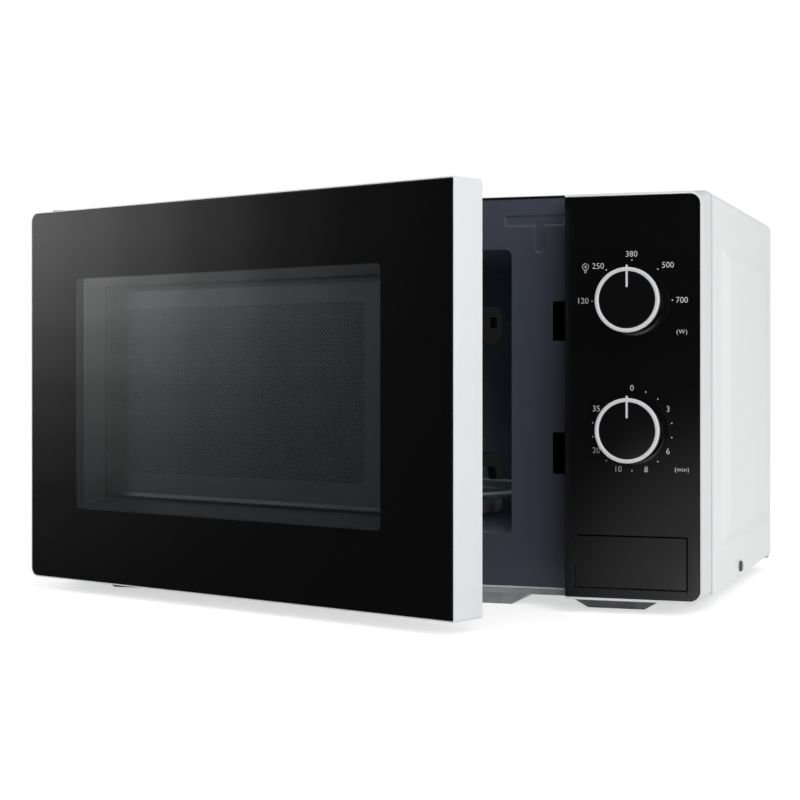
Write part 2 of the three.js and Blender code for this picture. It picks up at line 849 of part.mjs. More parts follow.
// The oven's face frame: a pressed sheet with a step back at the hinge side, where the door's
// corner swings, and a turned-back edge behind the control panel.
function makeFrontFrame() {
  const bottom = cabinetBottom + frameBottomGap;
  const top = innerTop;
  const left = innerLeft + frameSideGap;
  const t = cavitySheet;
  const hemBack = plateBack + plateHem;
  const teeBack = plateFront + embossTeeDepth;
  const sheets = join(
    block(pocketEdge, plateRight, plateFront, plateBack, bottom, top),
    block(pocketEdge - t, pocketEdge, plateFront, pocketFace + t, bottom, top),
    block(left, pocketEdge, pocketFace, pocketFace + t, bottom, top),
    block(left, left + t, pocketFace, pocketFace + pocketHem, bottom, top),
    block(plateRight - t, plateRight, plateFront, hemBack, bottom, top),
    block(pocketEdge, plateRight, plateFront, hemBack, top - t, top),
    prism(embossTee(t), 'y', plateFront, teeBack + t, 5),
  );
  const insideCabinet = prism(cabinetSection(caseSheet + seat, 0), 'y', plateFront - 1, caseDepth);
  const leverNotch = block(
    plateRight - 2,
    plateRight + 2,
    plateBack - 0.01,
    hemBack + 1,
    leverPivotHeight - leverNotchBelow,
    leverPivotHeight + leverNotchAbove,
  );
  return cut(
    sheets.intersect(insideCabinet),
    prism(openingOutline(0), 'y', plateFront - 5, plateBack + 5, 4),
    prism(embossTee(0), 'y', plateFront - 5, teeBack, 5),
    latchSlot(upperSlotMiddle, upperSlotHeight),
    latchSlot(lowerSlotMiddle, lowerSlotHeight),
    leverNotch,
  );
}

// The enamelled cooking box, open at the front, with its air holes, shaft hole and feed opening.
function makeCavity() {
  const t = cavitySheet;
  const shell = cut(
    block(cavityLeft - t, cavityRight + t, cavityFront, cavityBack + t, cavityFloor - t, cavityTop + t),
    block(cavityLeft, cavityRight, cavityFront - 1, cavityBack, cavityFloor, cavityTop),
  );
  const airHoles = (side, firstY, firstZ) =>
    grid(airHoleColumns, airHoleRows, (i, j) => {
      const y = firstY + i * airHolePitch;
      const z = firstZ + j * airHolePitch;
      return block(side - 2, side + 2, y, y + airHole, z, z + airHole);
    });
  const halfWide = ((airHoleColumns - 1) * airHolePitch) / 2;
  const halfHigh = ((airHoleRows - 1) * airHolePitch) / 2;
  const airIn = airHoles(cavityRight, lampY - halfWide, lampZ - halfHigh);
  const airOut = airHoles(cavityLeft, cavityBack - lampBehind, lampZ - halfHigh);
  const feedBack = feedFront + feedDepth;
  const feedTop = feedBottom + feedHeight;
  const feed = block(cavityRight - 1, cavityRight + 2, feedFront, feedBack, feedBottom, feedTop);
  const shaftHole = rod('z', shaftHoleRadius, cavityFloor - 5, cavityFloor + 5, turntableX, turntableY, 20);
  return cut(shell, airIn, airOut, feed, shaftHole);
}

function makeFeedCover() {
  const face = cavityRight - seat;
  return block(
    face - feedCoverThickness,
    face,
    feedFront - feedCoverMargin,
    feedFront + feedDepth + feedCoverMargin,
    feedBottom - feedCoverMargin,
    feedBottom + feedHeight + feedCoverMargin,
  );
}

// Hinge bracket: a plate on the stepped-back face, an arm over or under the door, and a pin.
function makeHinge(side) {
  const plateY = pocketFace - seat;
  const edge = side > 0 ? doorTop : doorBottom;
  const armInner = edge + side * seat;
  const armOuter = armInner + side * hingeArmThickness;
  const tall = armInner - side * hingePlateHeight;
  const pinEnd = armInner - side * hingePinLength;
  const pinRoot = (armInner + armOuter) / 2;
  const span = (a, b) => [Math.min(a, b), Math.max(a, b)];
  const left = innerLeft + hingePlateMargin;
  const right = pocketEdge - cavitySheet - seat;
  return join(
    block(left, right, plateY - hingePlateThickness, plateY, ...span(tall, armOuter)),
    block(left, right, hingeY - hingeArmReach, plateY, ...span(armInner, armOuter)),
    rod('z', hingePinRadius, ...span(pinEnd, pinRoot), hingeX, hingeY, 20),
  );
}

// ---------------------------------------------------------------------------------------------
// Control panel
// ---------------------------------------------------------------------------------------------

function panelOutline(inset) {
  const radius = panelCorner - inset;
  return roundedRectangle(
    panelLeft,
    caseRight - inset,
    panelBottom + inset,
    panelTop - inset,
    [0, radius, radius, 0],
  );
}

function buttonOpening(y0, y1) {
  const g = buttonGroove;
  return block(
    buttonLeft - g,
    buttonLeft + buttonWidth + g,
    y0,
    y1,
    buttonBottom - g,
    buttonBottom + buttonHeight + g,
  );
}

function shaftHoles(radius, y0, y1) {
  return join(
    rod('y', radius, y0, y1, dialX, powerDialZ, 20),
    rod('y', radius, y0, y1, dialX, timerDialZ, 20),
  );
}

// White moulding: outer walls, a web behind the fascia and a post that backs the button's spring.
function makePanelFrame() {
  const webFront = fasciaThickness + seat;
  const webBack = webFront + panelWall;
  const innerCorner = panelCorner - panelWall;
  const hollow = roundedRectangle(
    panelLeft + panelWall,
    caseRight - panelWall,
    panelBottom + panelWall,
    panelTop - panelWall,
    [0, innerCorner, innerCorner, 0],
  );
  const edge = panelRim - seat;
  const body = cut(
    prism(panelOutline(0), 'y', 0, panelDepth, 5),
    prism(panelOutline(edge), 'y', -1, webFront, 5),
    block(panelLeft - 1, panelLeft + panelCorner, -1, webFront, panelBottom + edge, panelTop - edge),
    prism(hollow, 'y', webBack, panelDepth + 1, 4),
    block(panelLeft - 1, plateRight + seat, plateFront - seat, panelDepth + 1, 0, caseHeight),
    buttonOpening(-1, webBack + 1),
    shaftHoles(shaftRadius + 1.5, -1, webBack + 1),
  );
  const half = springPostWidth / 2;
  const postBack = springSeat + springPostThickness;
  const postTop = springZ + springPostRise;
  const post = block(springX - half, springX + half, springSeat, postBack, panelBottom + 1, postTop);
  return join(body, post);
}

function makeFascia() {
  return cut(
    prism(panelOutline(panelRim), 'y', 0, fasciaThickness, 5),
    buttonOpening(-1, fasciaThickness + 1),
    shaftHoles(shaftRadius + fasciaHoleGap, -1, fasciaThickness + 1),
  );
}

// Release button: a face with a skirt that guides it, and a rib that pushes the release lever.
function makeReleaseButton() {
  const right = buttonLeft + buttonWidth;
  const top = buttonBottom + buttonHeight;
  const wall = buttonWall;
  const face = fasciaThickness;
  const ribTop = leverPivotHeight - leverArm + seat;
  const ribBack = leverPivotDepth - leverThickness / 2 - seat;
  return join(
    cut(
      block(buttonLeft, right, 0, buttonSkirt, buttonBottom, top),
      block(buttonLeft + wall, right - wall, face, buttonSkirt + 1, buttonBottom + wall, top - wall),
    ),
    block(leverArmX, leverArmX + leverWidth, face - 0.5, ribBack, ribTop - buttonRibHeight, ribTop),
  );
}

function makeButtonSpring() {
  const front = fasciaThickness + seat;
  const back = springSeat - seat;
  return coil('y', buttonSpringWire, buttonSpringRadius, front, back, springX, springZ, buttonSpringTurns);
}

// Knob: a drum with a shallow front recess for its trim ring and a bore for the shaft.
function makeKnob(z) {
  const front = -knobHeight + knobFaceInset;
  const ringBack = -knobHeight + knobRingDepth + seat;
  const inner = knobRadius - knobRingWidth - seat;
  const bore = shaftRadius + running;
  const boreEnd = -knobHeight + knobFaceThickness;
  const profile = [
    [0, front],
    [inner, front],
    [inner, ringBack],
    [knobRadius, ringBack],
    [knobRadius, -knobFloorGap],
    [bore, -knobFloorGap],
    [bore, boreEnd],
    [0, boreEnd],
  ];
  return turned('y', profile, dialX, z, 36);
}

// Satin trim ring with its pointer bar.
function makeKnobRing(z) {
  const front = -knobHeight;
  const back = front + knobRingDepth;
  const inner = knobRadius - knobRingWidth;
  const r = knobRadius;
  const profile = [[inner, front], [r, front], [r, back], [inner, back], [inner, front]];
  const half = pointerWidth / 2;
  const tip = z + knobRadius - pointerLength;
  const overlap = z + knobRadius - 1;
  return join(
    turned('y', profile, dialX, z, 36),
    block(dialX - half, dialX + half, front, front + pointerDepth, tip, overlap),
    block(dialX - half, dialX + half, front, back, overlap, z + knobRadius + knobFloorGap),
  );
}

function makeDialShaft(z) {
  const tip = -knobHeight + knobFaceThickness + seat;
  const root = timerUnitFront + shaftRoot;
  const flat = block(dialX + shaftRadius * 0.6, dialX + shaftRadius + 1, tip - 1, -1, z - 5, z + 5);
  return cut(rod('y', shaftRadius, tip, root, dialX, z, 20), flat);
}

// Mechanical timer and power selector in one housing behind the panel.
function makeTimerUnit() {
  const half = timerUnitWidth / 2;
  const bottom = timerDialZ - timerUnitDrop;
  const top = powerDialZ + timerUnitRise;
  const r = timerUnitCorner;
  const shape = roundedRectangle(dialX - half, dialX + half, bottom, top, [r, r, r, r]);
  return cut(
    prism(shape, 'y', timerUnitFront, timerUnitBack, 3),
    shaftHoles(shaftRadius + running, timerUnitFront - 1, timerUnitFront + shaftRoot + 0.5),
  );
}

function makeTimerMotor() {
  const front = timerUnitBack + seat;
  const back = front + timerMotorDepth;
  const cap = back + timerCapDepth;
  const r = timerMotorRadius;
  const profile = [[0, front], [r, front], [r, back], [timerCapRadius, cap], [0, cap]];
  return turned('y', profile, dialX, timerDialZ + timerMotorRise, 28);
}

function makeTimerBell() {
  const front = timerUnitBack + seat;
  const back = front + bellDepth;
  const post = 3;
  const crown = 10;
  const profile = [
    [0, front],
    [post, front],
    [post, back - bellThickness],
    [crown, back - bellThickness],
    [bellRadius - 1, front + 1],
    [bellRadius, front + 2],
    [crown + 1, back],
    [0, back],
  ];
  return turned('y', profile, dialX, powerDialZ - bellDrop, 24);
}

// ---------------------------------------------------------------------------------------------
// Door latch and interlock
// ---------------------------------------------------------------------------------------------

// Interlock body behind the frame: two pockets for the hooks and two ears for the lever.
function makeLatchBody() {
  const left = slotLeft - latchBodyMargin;
  const right = plateRight - cavitySheet - seat;
  const front = cavityFront;
  const bottom = lowerSlotMiddle - lowerSlotHeight / 2 - latchBodyBelow;
  const top = upperSlotMiddle + upperSlotHeight / 2 + latchBodyAbove;
  const pocket = (middle, height) => {
    const low = middle - height / 2 - latchPocketBelow;
    const high = middle + height / 2 + latchPocketAbove;
    return block(slotLeft - seat, slotRight + seat, front - 1, pocketBack, low, high);
  };
  const earBottom = leverPivotHeight - 7;
  const earBack = leverPivotDepth + 9;
  const ears = [left, right - leverEar].map((x) =>
    block(x, x + leverEar, front, earBack, earBottom, bottom + 1));
  const plungers = switchHeights.map((z) =>
    rod('y', plungerRadius + 2 * seat, pocketBack - 3, latchBodyBack + 1, latchKeyX, z, 12));
  const between = block(
    left + latchBodyWall,
    right - latchBodyWall,
    front + 4,
    latchBodyBack + 1,
    lowerSlotMiddle + 22,
    upperSlotMiddle - 26,
  );
  const fingerWay = block(
    latchKeyX - leverFingerWidth / 2 - 0.5,
    latchKeyX + leverFingerWidth / 2 + 0.5,
    leverPivotDepth + 0.5,
    pocketBack,
    bottom - 1,
    bottom + 7,
  );
  const axleRoom = leverAxleRadius + running;
  const bearing = rod('x', axleRoom, left - 1, right + 1, leverPivotDepth, leverPivotHeight, 20);
  return cut(
    join(block(left, right, front, latchBodyBack, bottom, top), ...ears),
    pocket(upperSlotMiddle, upperSlotHeight),
    pocket(lowerSlotMiddle, lowerSlotHeight),
    between,
    fingerWay,
    bearing,
    ...plungers,
  );
}

function makeSwitch(z) {
  const front = latchBodyBack + seat;
  const half = switchWidth / 2;
  const tall = switchHeight / 2;
  const tabs = grid(1, 3, (i, j) => {
    const low = z - 10 + j * 9;
    const back = front + switchDepth;
    return block(latchKeyX - 2, latchKeyX + 2, back - 1, back + 8, low, low + bladeThickness);
  });
  return join(
    block(latchKeyX - half, latchKeyX + half, front, front + switchDepth, z - tall, z + tall),
    rod('y', plungerRadius, pocketBack + 2 * seat, front + 1, latchKeyX, z, 12),
    tabs,
  );
}

// Release lever: an arm that the button pushes back and a finger that lifts the hooks.
function makeReleaseLever() {
  const y = leverPivotDepth;
  const z = leverPivotHeight;
  const finger = outline([[y + 1.5, z - 2], [y + 19.8, z + 20.2], [y + 16.6, z + 23.5], [y - 1.8, z + 1.5]]);
  const half = leverFingerWidth / 2;
  const armEnd = z - leverArm - 2.2;
  const armRight = leverArmX + leverWidth;
  return join(
    rod('x', leverAxleRadius, slotLeft - latchBodyMargin + 0.5, armRight, y, z, 20),
    prism(finger, 'x', latchKeyX - half, latchKeyX + half),
    block(leverArmX, armRight, y - leverThickness / 2, y + leverThickness / 2, armEnd, z),
  );
}

// ---------------------------------------------------------------------------------------------
// Power bay
// ---------------------------------------------------------------------------------------------

function makeWaveguide() {
  const left = bayLeft + seat;
  const right = left + waveguideDepth;
  const y0 = feedFront - waveguideMargin;
  const y1 = feedFront + feedDepth + waveguideMargin;
  const z0 = feedBottom - waveguideMargin;
  const z1 = z0 + magnetronHeight;
  const t = waveguideWall;
  return cut(
    block(left, right, y0, y1, z0, z1),
    block(left + t, right - t, y0 + t, y1 - t, z0 + t, z1 - t),
    block(left - 1, left + 2 * t, feedFront, feedFront + feedDepth, feedBottom, feedBottom + feedHeight),
    rod('x', waveguideHole, right - 3 * t, right + 1, magnetronY, magnetronZ, 24),
  );
}

// Magnetron: an open-sided yoke, the finned anode with its antenna, and the filter box.
function makeMagnetronYoke() {
  const left = magnetronLeft;
  const right = left + magnetronWidth;
  const y0 = magnetronY - yokeDepth / 2;
  const y1 = magnetronY + yokeDepth / 2;
  const z0 = magnetronZ - magnetronHeight / 2;
  const z1 = z0 + magnetronHeight;
  const t = yokeSheet;
  return cut(
    block(left, right, y0, y1, z0, z1),
    block(left + t, right - t, y0 - 1, y1 + 1, z0 + t, z1 - t),
    rod('x', yokeHole, left - 1, left + 2 * t, magnetronY, magnetronZ, 24),
    rod('x', yokeHole, right - 2 * t, right + 1, magnetronY, magnetronZ, 24),
  );
}

function makeMagnetronAnode() {
  const left = magnetronLeft + yokeSheet + seat;
  const right = magnetronLeft + magnetronWidth - yokeSheet - seat;
  const tip = magnetronLeft - antennaLength;
  const y0 = magnetronY - finDepth / 2;
  const z0 = magnetronZ - finHeight / 2;
  const fins = [];
  for (let x = left + finMargin; x < right - finMargin; x += finPitch) {
    fins.push(block(x, x + finThickness, y0, y0 + finDepth, z0, z0 + finHeight));
  }
  const profile = [
    [0, tip],
    [antennaRadius - 2.5, tip],
    [antennaRadius, tip + antennaTaper],
    [antennaRadius, left + 1],
    [0, left + 1],
  ];
  return join(
    rod('x', anodeRadius, left, right, magnetronY, magnetronZ, 16),
    turned('x', profile, magnetronY, magnetronZ, 20),
    rod('x', stemRadius, right - 1, right + stemLength, magnetronY, magnetronZ, 20),
    ...fins,
  );
}

function makeMagnetronFilter() {
  const left = magnetronLeft + magnetronWidth + seat;
  const y0 = magnetronY - filterWidth / 2;
  const z0 = magnetronZ - filterHeight / 2;
  const body = block(left, left + filterDepth, y0, y0 + filterWidth, z0, z0 + filterHeight);
  const stemRoom = rod('x', stemRadius + 1, left - 1, left + stemLength + 2, magnetronY, magnetronZ, 20);
  const plugLeft = left + (filterDepth - filterPlugWidth) / 2;
  const half = filterPlugHeight / 2;
  const plug = block(
    plugLeft,
    plugLeft + filterPlugWidth,
    y0 - filterPlugDepth + 1,
    y0 + 1,
    magnetronZ - half,
    magnetronZ + half,
  );
  return cut(join(body, plug), stemRoom);
}

// High-voltage transformer: a laminated core with two windows and two windings on its middle leg.
function makeTransformerCore() {
  const half = transformerWidth / 2;
  const base = baseTop + seat;
  const top = base + transformerHeight;
  const y1 = transformerY + transformerDepth;
  const leg = transformerWidth / 6;
  const window = (x) => block(x, x + leg, transformerY - 1, y1 + 1, base + leg, top - leg);
  return cut(
    block(bayMiddle - half, bayMiddle + half, transformerY, y1, base, top),
    window(bayMiddle - 2 * leg),
    window(bayMiddle + leg),
  );
}

function makeWinding(z0, z1) {
  const leg = transformerWidth / 6;
  const outerX = 2 * leg - seat;
  const innerX = leg + seat;
  const y1 = transformerY + transformerDepth;
  const bulge = leg - seat;
  const radius = bulge * 0.6;
  const outer = roundedRectangle(
    bayMiddle - outerX,
    bayMiddle + outerX,
    transformerY - bulge,
    y1 + bulge,
    [radius, radius, radius, radius],
  );
  const hole = block(bayMiddle - innerX, bayMiddle + innerX, transformerY - seat, y1 + seat, z0 - 1, z1 + 1);
  return cut(prism(outer, 'z', z0, z1, 4), hole);
}

function makeCapacitor() {
  const base = baseTop + seat;
  const top = base + capacitorHeight;
  const r = capacitorDepth / 2;
  const shape = roundedRectangle(
    capacitorX,
    capacitorX + capacitorWidth,
    capacitorY,
    capacitorY + capacitorDepth,
    [r, r, r, r],
  );
  const bladeFront = capacitorY + r - bladeThickness / 2;
  const blades = grid(2, 1, (i) => {
    const x = capacitorX + capacitorWidth * (0.3 + 0.35 * i);
    return block(x, x + bladeWidth, bladeFront, bladeFront + bladeThickness, top - 1, top + bladeHeight);
  });
  return join(prism(shape, 'z', base, top, 6), blades);
}

function makeCapacitorStrap() {
  const r = capacitorDepth / 2;
  const base = baseTop + seat;
  const t = strapSheet;
  const ring = (grow) =>
    roundedRectangle(
      capacitorX - grow,
      capacitorX + capacitorWidth + grow,
      capacitorY - grow,
      capacitorY + capacitorDepth + grow,
      [r + grow, r + grow, r + grow, r + grow],
    );
  const low = base + strapRise;
  const high = low + strapWidth;
  const end = capacitorX + capacitorWidth + seat;
  const y0 = capacitorY + r - strapWidth / 2;
  const y1 = y0 + strapWidth;
  return join(
    cut(prism(ring(seat + t), 'z', low, high, 6), prism(ring(seat), 'z', low - 1, high + 1, 6)),
    block(end, end + t, y0, y1, base, low + 1),
    block(end, end + strapFoot, y0, y1, base, base + t),
  );
}

function makeDiode() {
  const base = baseTop + seat;
  const z = base + diodeRadius;
  const y = capacitorY + capacitorDepth / 2;
  const x = capacitorX + capacitorWidth + diodeGap;
  const end = x + diodeLength;
  const tag = end + diodeTag;
  const half = diodeTag / 2;
  return join(
    rod('x', diodeRadius, x, end, y, z, 16),
    rod('x', diodeWire, end - 1, end + diodeLead, y, z, 8),
    block(tag, tag + diodeTag, y - half, y + half, base, base + 1),
    block(tag, tag + 1, y - 1, y + 1, base, base + diodeRadius + 1),
  );
}

// Fan shroud: a sheet with a round mouth, a cross bar for the motor and a flange on the cavity.
function makeFanShroud() {
  const y = shroudFront;
  const left = bayLeft + seat;
  const right = innerRight - 4;
  const t = shroudSheet;
  const low = fanZ - shroudBelow;
  const high = fanZ + shroudAbove;
  const reach = fanRadius + fanMouthGap;
  const half = shroudBar / 2;
  return join(
    cut(
      block(left, right, y, y + t, low, high),
      rod('y', reach, y - 1, y + t + 1, fanX, fanZ, 40),
    ),
    cut(
      block(fanX - reach - 2, fanX + reach + 2, y, y + t, fanZ - half, fanZ + half),
      rod('y', fanShaftRadius + 1.5, y - 1, y + t + 1, fanX, fanZ, 16),
    ),
    block(left, left + t, y, y + shroudFlange, low, high),
  );
}

function makeFanMotor() {
  const back = shroudFront - seat;
  const front = back - fanMotorDepth;
  const halfWide = fanMotorWidth / 2;
  const halfHigh = fanMotorHeight / 2;
  const bobbinTop = fanZ - halfHigh + 1;
  const bobbinLeft = fanX - bobbinWidth / 2;
  const bobbinRight = fanX + bobbinWidth / 2;
  return cut(
    join(
      block(fanX - halfWide, fanX + halfWide, front, back, fanZ - halfHigh, fanZ + halfHigh),
      block(bobbinLeft, bobbinRight, front - bobbinFront, back - 3, bobbinTop - bobbinHeight, bobbinTop),
    ),
    rod('y', fanShaftRadius + 0.5, back - 8, back + 1, fanX, fanZ, 16),
  );
}

// A pitched blade: a thin plate twisted out of the disc's plane, then turned to its place.
function fanBlade(angle) {
  const length = fanRadius - fanBladeRoot;
  const geometry = new THREE.BoxGeometry(length, fanBladeThickness, fanBladeDepth);
  geometry.rotateX(fanBladePitch);
  geometry.translate(fanBladeRoot + length / 2, shroudFront + fanHubFront + fanHubDepth / 2 + 1, 0);
  geometry.rotateY(angle);
  geometry.translate(fanX, 0, fanZ);
  return solidFrom(geometry);
}

function makeFan() {
  const turn = (i) => (i * 2 * Math.PI) / fanBlades;
  const vanes = Array.from({ length: fanBlades }, (unused, i) => fanBlade(turn(i)));
  const hubFront = shroudFront + fanHubFront;
  const hub = rod('y', fanHubRadius, hubFront, hubFront + fanHubDepth, fanX, fanZ, 24);
  const shaft = rod('y', fanShaftRadius, shroudFront - fanShaftFront, hubFront + 1, fanX, fanZ, 16);
  return join(hub, shaft, ...vanes);
}

function makeLampHolder() {
  const left = bayLeft + seat;
  const bore = lampSocketRadius - lampSocketWall;
  const neck = left + lampSocketDepth + 1;
  const end = neck + lampNeckDepth - 1;
  const seatX = left + bulbLength + seat;
  const profile = [
    [bore, left],
    [lampSocketRadius, left],
    [lampSocketRadius, left + lampSocketDepth],
    [lampNeckRadius, neck],
    [lampNeckRadius, end],
    [0, end],
    [0, seatX],
    [bulbNeckRadius + 0.5, seatX],
    [bulbNeckRadius + 0.5, left + lampSocketDepth - 0.5],
    [bore, left + lampSocketDepth - 2],
    [bore, left],
  ];
  return turned('x', profile, lampY, lampZ, 24);
}

function makeLampBulb() {
  const left = bayLeft + seat;
  const profile = [
    [0, left + 1],
    [bulbRadius - 2.5, left + 2.5],
    [bulbRadius, left + 6],
    [bulbRadius, left + 11],
    [bulbNeckRadius, left + 17],
    [bulbNeckRadius, left + bulbLength],
    [0, left + bulbLength],
  ];
  return turned('x', profile, lampY, lampZ, 20);
}

function makeCavityThermostat() {
  const x = cavityRight - thermostatInset;
  const z = cavityTop + cavitySheet + seat;
  const r = thermostatRadius;
  const top = z + thermostatHeight;
  const body = turned('z', [[0, z], [r, z], [r, top - 1], [r - 2, top], [0, top]], x, turntableY, 20);
  const half = thermostatEar / 2;
  const ears = block(x - half, x + half, turntableY - 4, turntableY + 4, z, z + bladeThickness);
  const blades = grid(2, 1, (i) => {
    const left = x - r / 2 + i * (r - bladeThickness);
    return block(left, left + bladeThickness, turntableY - 3, turntableY + 3, top - 1, top + bladeWidth);
  });
  return join(body, ears, blades);
}

// Mains filter on its board, standing off the rear cover.
function makeFilterBoard() {
  const back = backFace - caseSheet - seat;
  const board = back - boardGap;
  const left = bayLeft + boardInset;
  const bottom = baseTop + boardRise;
  const corner = 2 * boardPost;
  const posts = grid(2, 2, (i, j) => {
    const x = left + corner + i * (boardWidth - 2 * corner);
    const z = bottom + corner + j * (boardHeight - 2 * corner);
    return rod('y', boardPost, board, back, x, z, 12);
  });
  const component = (x0, x1, depth, z0, z1) =>
    block(left + x0, left + x1, board - depth, board - 1, bottom + z0, bottom + z1);
  return join(
    block(left, left + boardWidth, board - boardSheet, board, bottom, bottom + boardHeight),
    posts,
    component(6, 30, 20, 8, 30),
    component(34, 50, 14, 10, 34),
    component(13, 19, 5.5, 40, 58),
    rod('z', 4, bottom + 38, bottom + 60, left + 16, board - 5.5, 14),
  );
}

// ---------------------------------------------------------------------------------------------
// Turntable
// ---------------------------------------------------------------------------------------------

// A turned piece whose axis points out level from the turntable's centre at an angle.
function turnedOutward(profile, angle, segments) {
  const points = profile.map(([r, h]) => new THREE.Vector2(r, h));
  const geometry = new THREE.LatheGeometry(points, segments);
  geometry.rotateZ(angle - Math.PI / 2);
  geometry.translate(turntableX, turntableY, rollerZ);
  return solidFrom(geometry);
}

const rollerAngles = [Math.PI / 6, (5 * Math.PI) / 6, (3 * Math.PI) / 2];

function makeTurntableMotor() {
  const top = cavityFloor - cavitySheet - seat;
  const bottom = top - tableMotorDepth;
  const x = turntableX;
  const y = turntableY;
  const half = tableMotorEarWidth / 2;
  const body = rod('z', tableMotorRadius, bottom, top, x, y, 32);
  const ears = block(x - tableMotorEar, x + tableMotorEar, y - half, y + half, top - 1, top);
  const front = y + tableMotorRadius - 1;
  const terminals = block(x - 9, x + 9, front, front + 9, bottom + 3, top - 4);
  const bore = rod('z', shaftRadius + running, top - tableMotorBore, top + 1, x, y, 20);
  return cut(join(body, ears, terminals), bore);
}

// Drive shaft and the three-lobed coupler that turns the tray.
function makeCoupler() {
  const top = trayBottom - seat;
  const shaftEnd = cavityFloor - cavitySheet - seat - tableMotorBore + 1;
  const lobes = rollerAngles.map((angle) => {
    const geometry = new THREE.BoxGeometry(lobeLength, lobeWidth, lobeHeight);
    geometry.translate(lobeLength / 2, 0, 0);
    geometry.rotateZ(angle);
    geometry.translate(turntableX, turntableY, top - lobeHeight / 2);
    return solidFrom(geometry);
  });
  return join(
    rod('z', shaftRadius, shaftEnd, cavityFloor + 2, turntableX, turntableY, 20),
    rod('z', couplerRadius, cavityFloor + 1, top, turntableX, turntableY, 24),
    ...lobes,
  );
}

// Glass tray: a flat dish with a turned-up rim and three lugs that sit between the coupler's lobes.
function makeGlassTray() {
  const b = trayBottom;
  const t = trayThickness;
  const r = trayRadius;
  const bend = b + trayRimHeight * 0.3;
  const rim = b + trayRimHeight;
  const profile = [
    [0, b],
    [r - trayFlatMargin, b],
    [r - trayBend, bend],
    [r, rim - 2],
    [r, rim],
    [r - trayRimWidth, rim],
    [r - trayBend - 2, bend + t * 0.8],
    [r - trayFlatMargin, b + t],
    [0, b + t],
  ];
  const lugs = rollerAngles.map((angle) => {
    const x = turntableX + lugOrbit * Math.cos(angle + Math.PI / 3);
    const y = turntableY + lugOrbit * Math.sin(angle + Math.PI / 3);
    return rod('z', lugRadius, b - lugDepth, b + 1, x, y, 12);
  });
  return join(turned('z', profile, turntableX, turntableY, 48), ...lugs);
}

// Roller ring: a plastic hoop with three axles pointing outwards.
function makeRollerRing() {
  const outer = rollerOrbit - rollerWidth / 2 - hoopGap;
  const inner = outer - hoopWidth;
  const half = hoopHeight / 2;
  const hoop = [
    [inner, rollerZ - half],
    [outer, rollerZ - half],
    [outer, rollerZ + half],
    [inner, rollerZ + half],
    [inner, rollerZ - half],
  ];
  const root = outer - 2;
  const tip = rollerOrbit + rollerWidth / 2 + axleTail;
  const r = rollerAxleRadius;
  const axle = [[0, root], [r, root], [r, tip], [0, tip]];
  const axles = rollerAngles.map((angle) => turnedOutward(axle, angle, 12));
  return join(turned('z', hoop, turntableX, turntableY, 36), ...axles);
}

function makeRoller(angle) {
  const near = rollerOrbit - rollerWidth / 2;
  const far = rollerOrbit + rollerWidth / 2;
  const bore = rollerAxleRadius + rollerBoreGap;
  const profile = [
    [bore, near],
    [rollerRadius - 1, near],
    [rollerRadius, near + 1],
    [rollerRadius, far - 1],
    [rollerRadius - 1, far],
    [bore, far],
    [bore, near],
  ];
  return turnedOutward(profile, angle, 16);
}

// ---------------------------------------------------------------------------------------------
// Door, laid out shut
// ---------------------------------------------------------------------------------------------

function doorOutline(inset) {
  const hinge = doorHingeCorner - inset;
  const free = Math.max(doorFreeCorner - inset, 0.4);
  return roundedRectangle(
    doorLeft + inset,
    doorRight - inset,
    doorBottom + inset,
    doorTop - inset,
    [hinge, free, free, hinge],
  );
}

function windowOutline(inset) {
  const radius = Math.max(windowCorner - inset, 0.5);
  return roundedRectangle(
    windowLeft + inset,
    windowLeft + windowWidth - inset,
    windowBottom + inset,
    windowTop - inset,
    [radius, radius, radius, radius],
  );
}

function hingeBoss(z0, z1, y1, grow) {
  const left = doorLeft + doorWall - grow;
  const right = hingeX + hingePinRadius + hingeBossWall + grow;
  return block(left, right, hingeY - hingeBossDepth, y1, z0 - grow, z1 + grow);
}

// White door moulding: rim and web that hold the glass, walls, a tunnel round the window,
// bosses for the hinge pins, guide ribs for the latch bar and a seat for its spring.
function makeDoorFrame() {
  const rear = doorThickness;
  const shell = cut(
    prism(doorOutline(0), 'y', 0.3, rear, 5),
    prism(doorOutline(glassRim - seat), 'y', -1, glassThickness + seat, 5),
    prism(doorOutline(doorWall), 'y', doorWebBack, rear + 1, 4),
  );
  const root = doorWebBack - 0.5;
  const tunnel = prism(windowOutline(-tunnelWall), 'y', root, screenFront - seat, 3);
  const bosses = [
    hingeBoss(doorBottom + hingeBossEdge, doorBottom + hingeBossEdge + hingeBossHeight, rear, 0),
    hingeBoss(doorTop - hingeBossEdge - hingeBossHeight, doorTop - hingeBossEdge, rear, 0),
  ];
  const pinHole = (z0, z1) => rod('z', hingePinRadius + running, z0, z1, hingeX, hingeY, 20);
  const ribRight = doorRight - doorWall + 0.5;
  const guides = [upperSlotMiddle - 56, upperSlotMiddle - 31].map((z) =>
    block(latchKeyX - 4, ribRight, root, latchBarFront - seat, z, z + latchGuideHeight));
  const springRibBack = latchBarFront + latchBarDepth + 3;
  const springRib = block(
    latchKeyX - 5,
    ribRight,
    root,
    springRibBack,
    latchSpringFoot - 2,
    latchSpringFoot,
  );
  return cut(
    join(shell, tunnel, ...bosses, ...guides, springRib),
    prism(windowOutline(0), 'y', -1, rear + 1, 3),
    pinHole(doorBottom - 1, doorBottom + hingeBoreDepth),
    pinHole(doorTop - hingeBoreDepth, doorTop + 1),
  );
}

function makeDoorGlass() {
  return prism(doorOutline(glassRim), 'y', 0, glassThickness, 6);
}

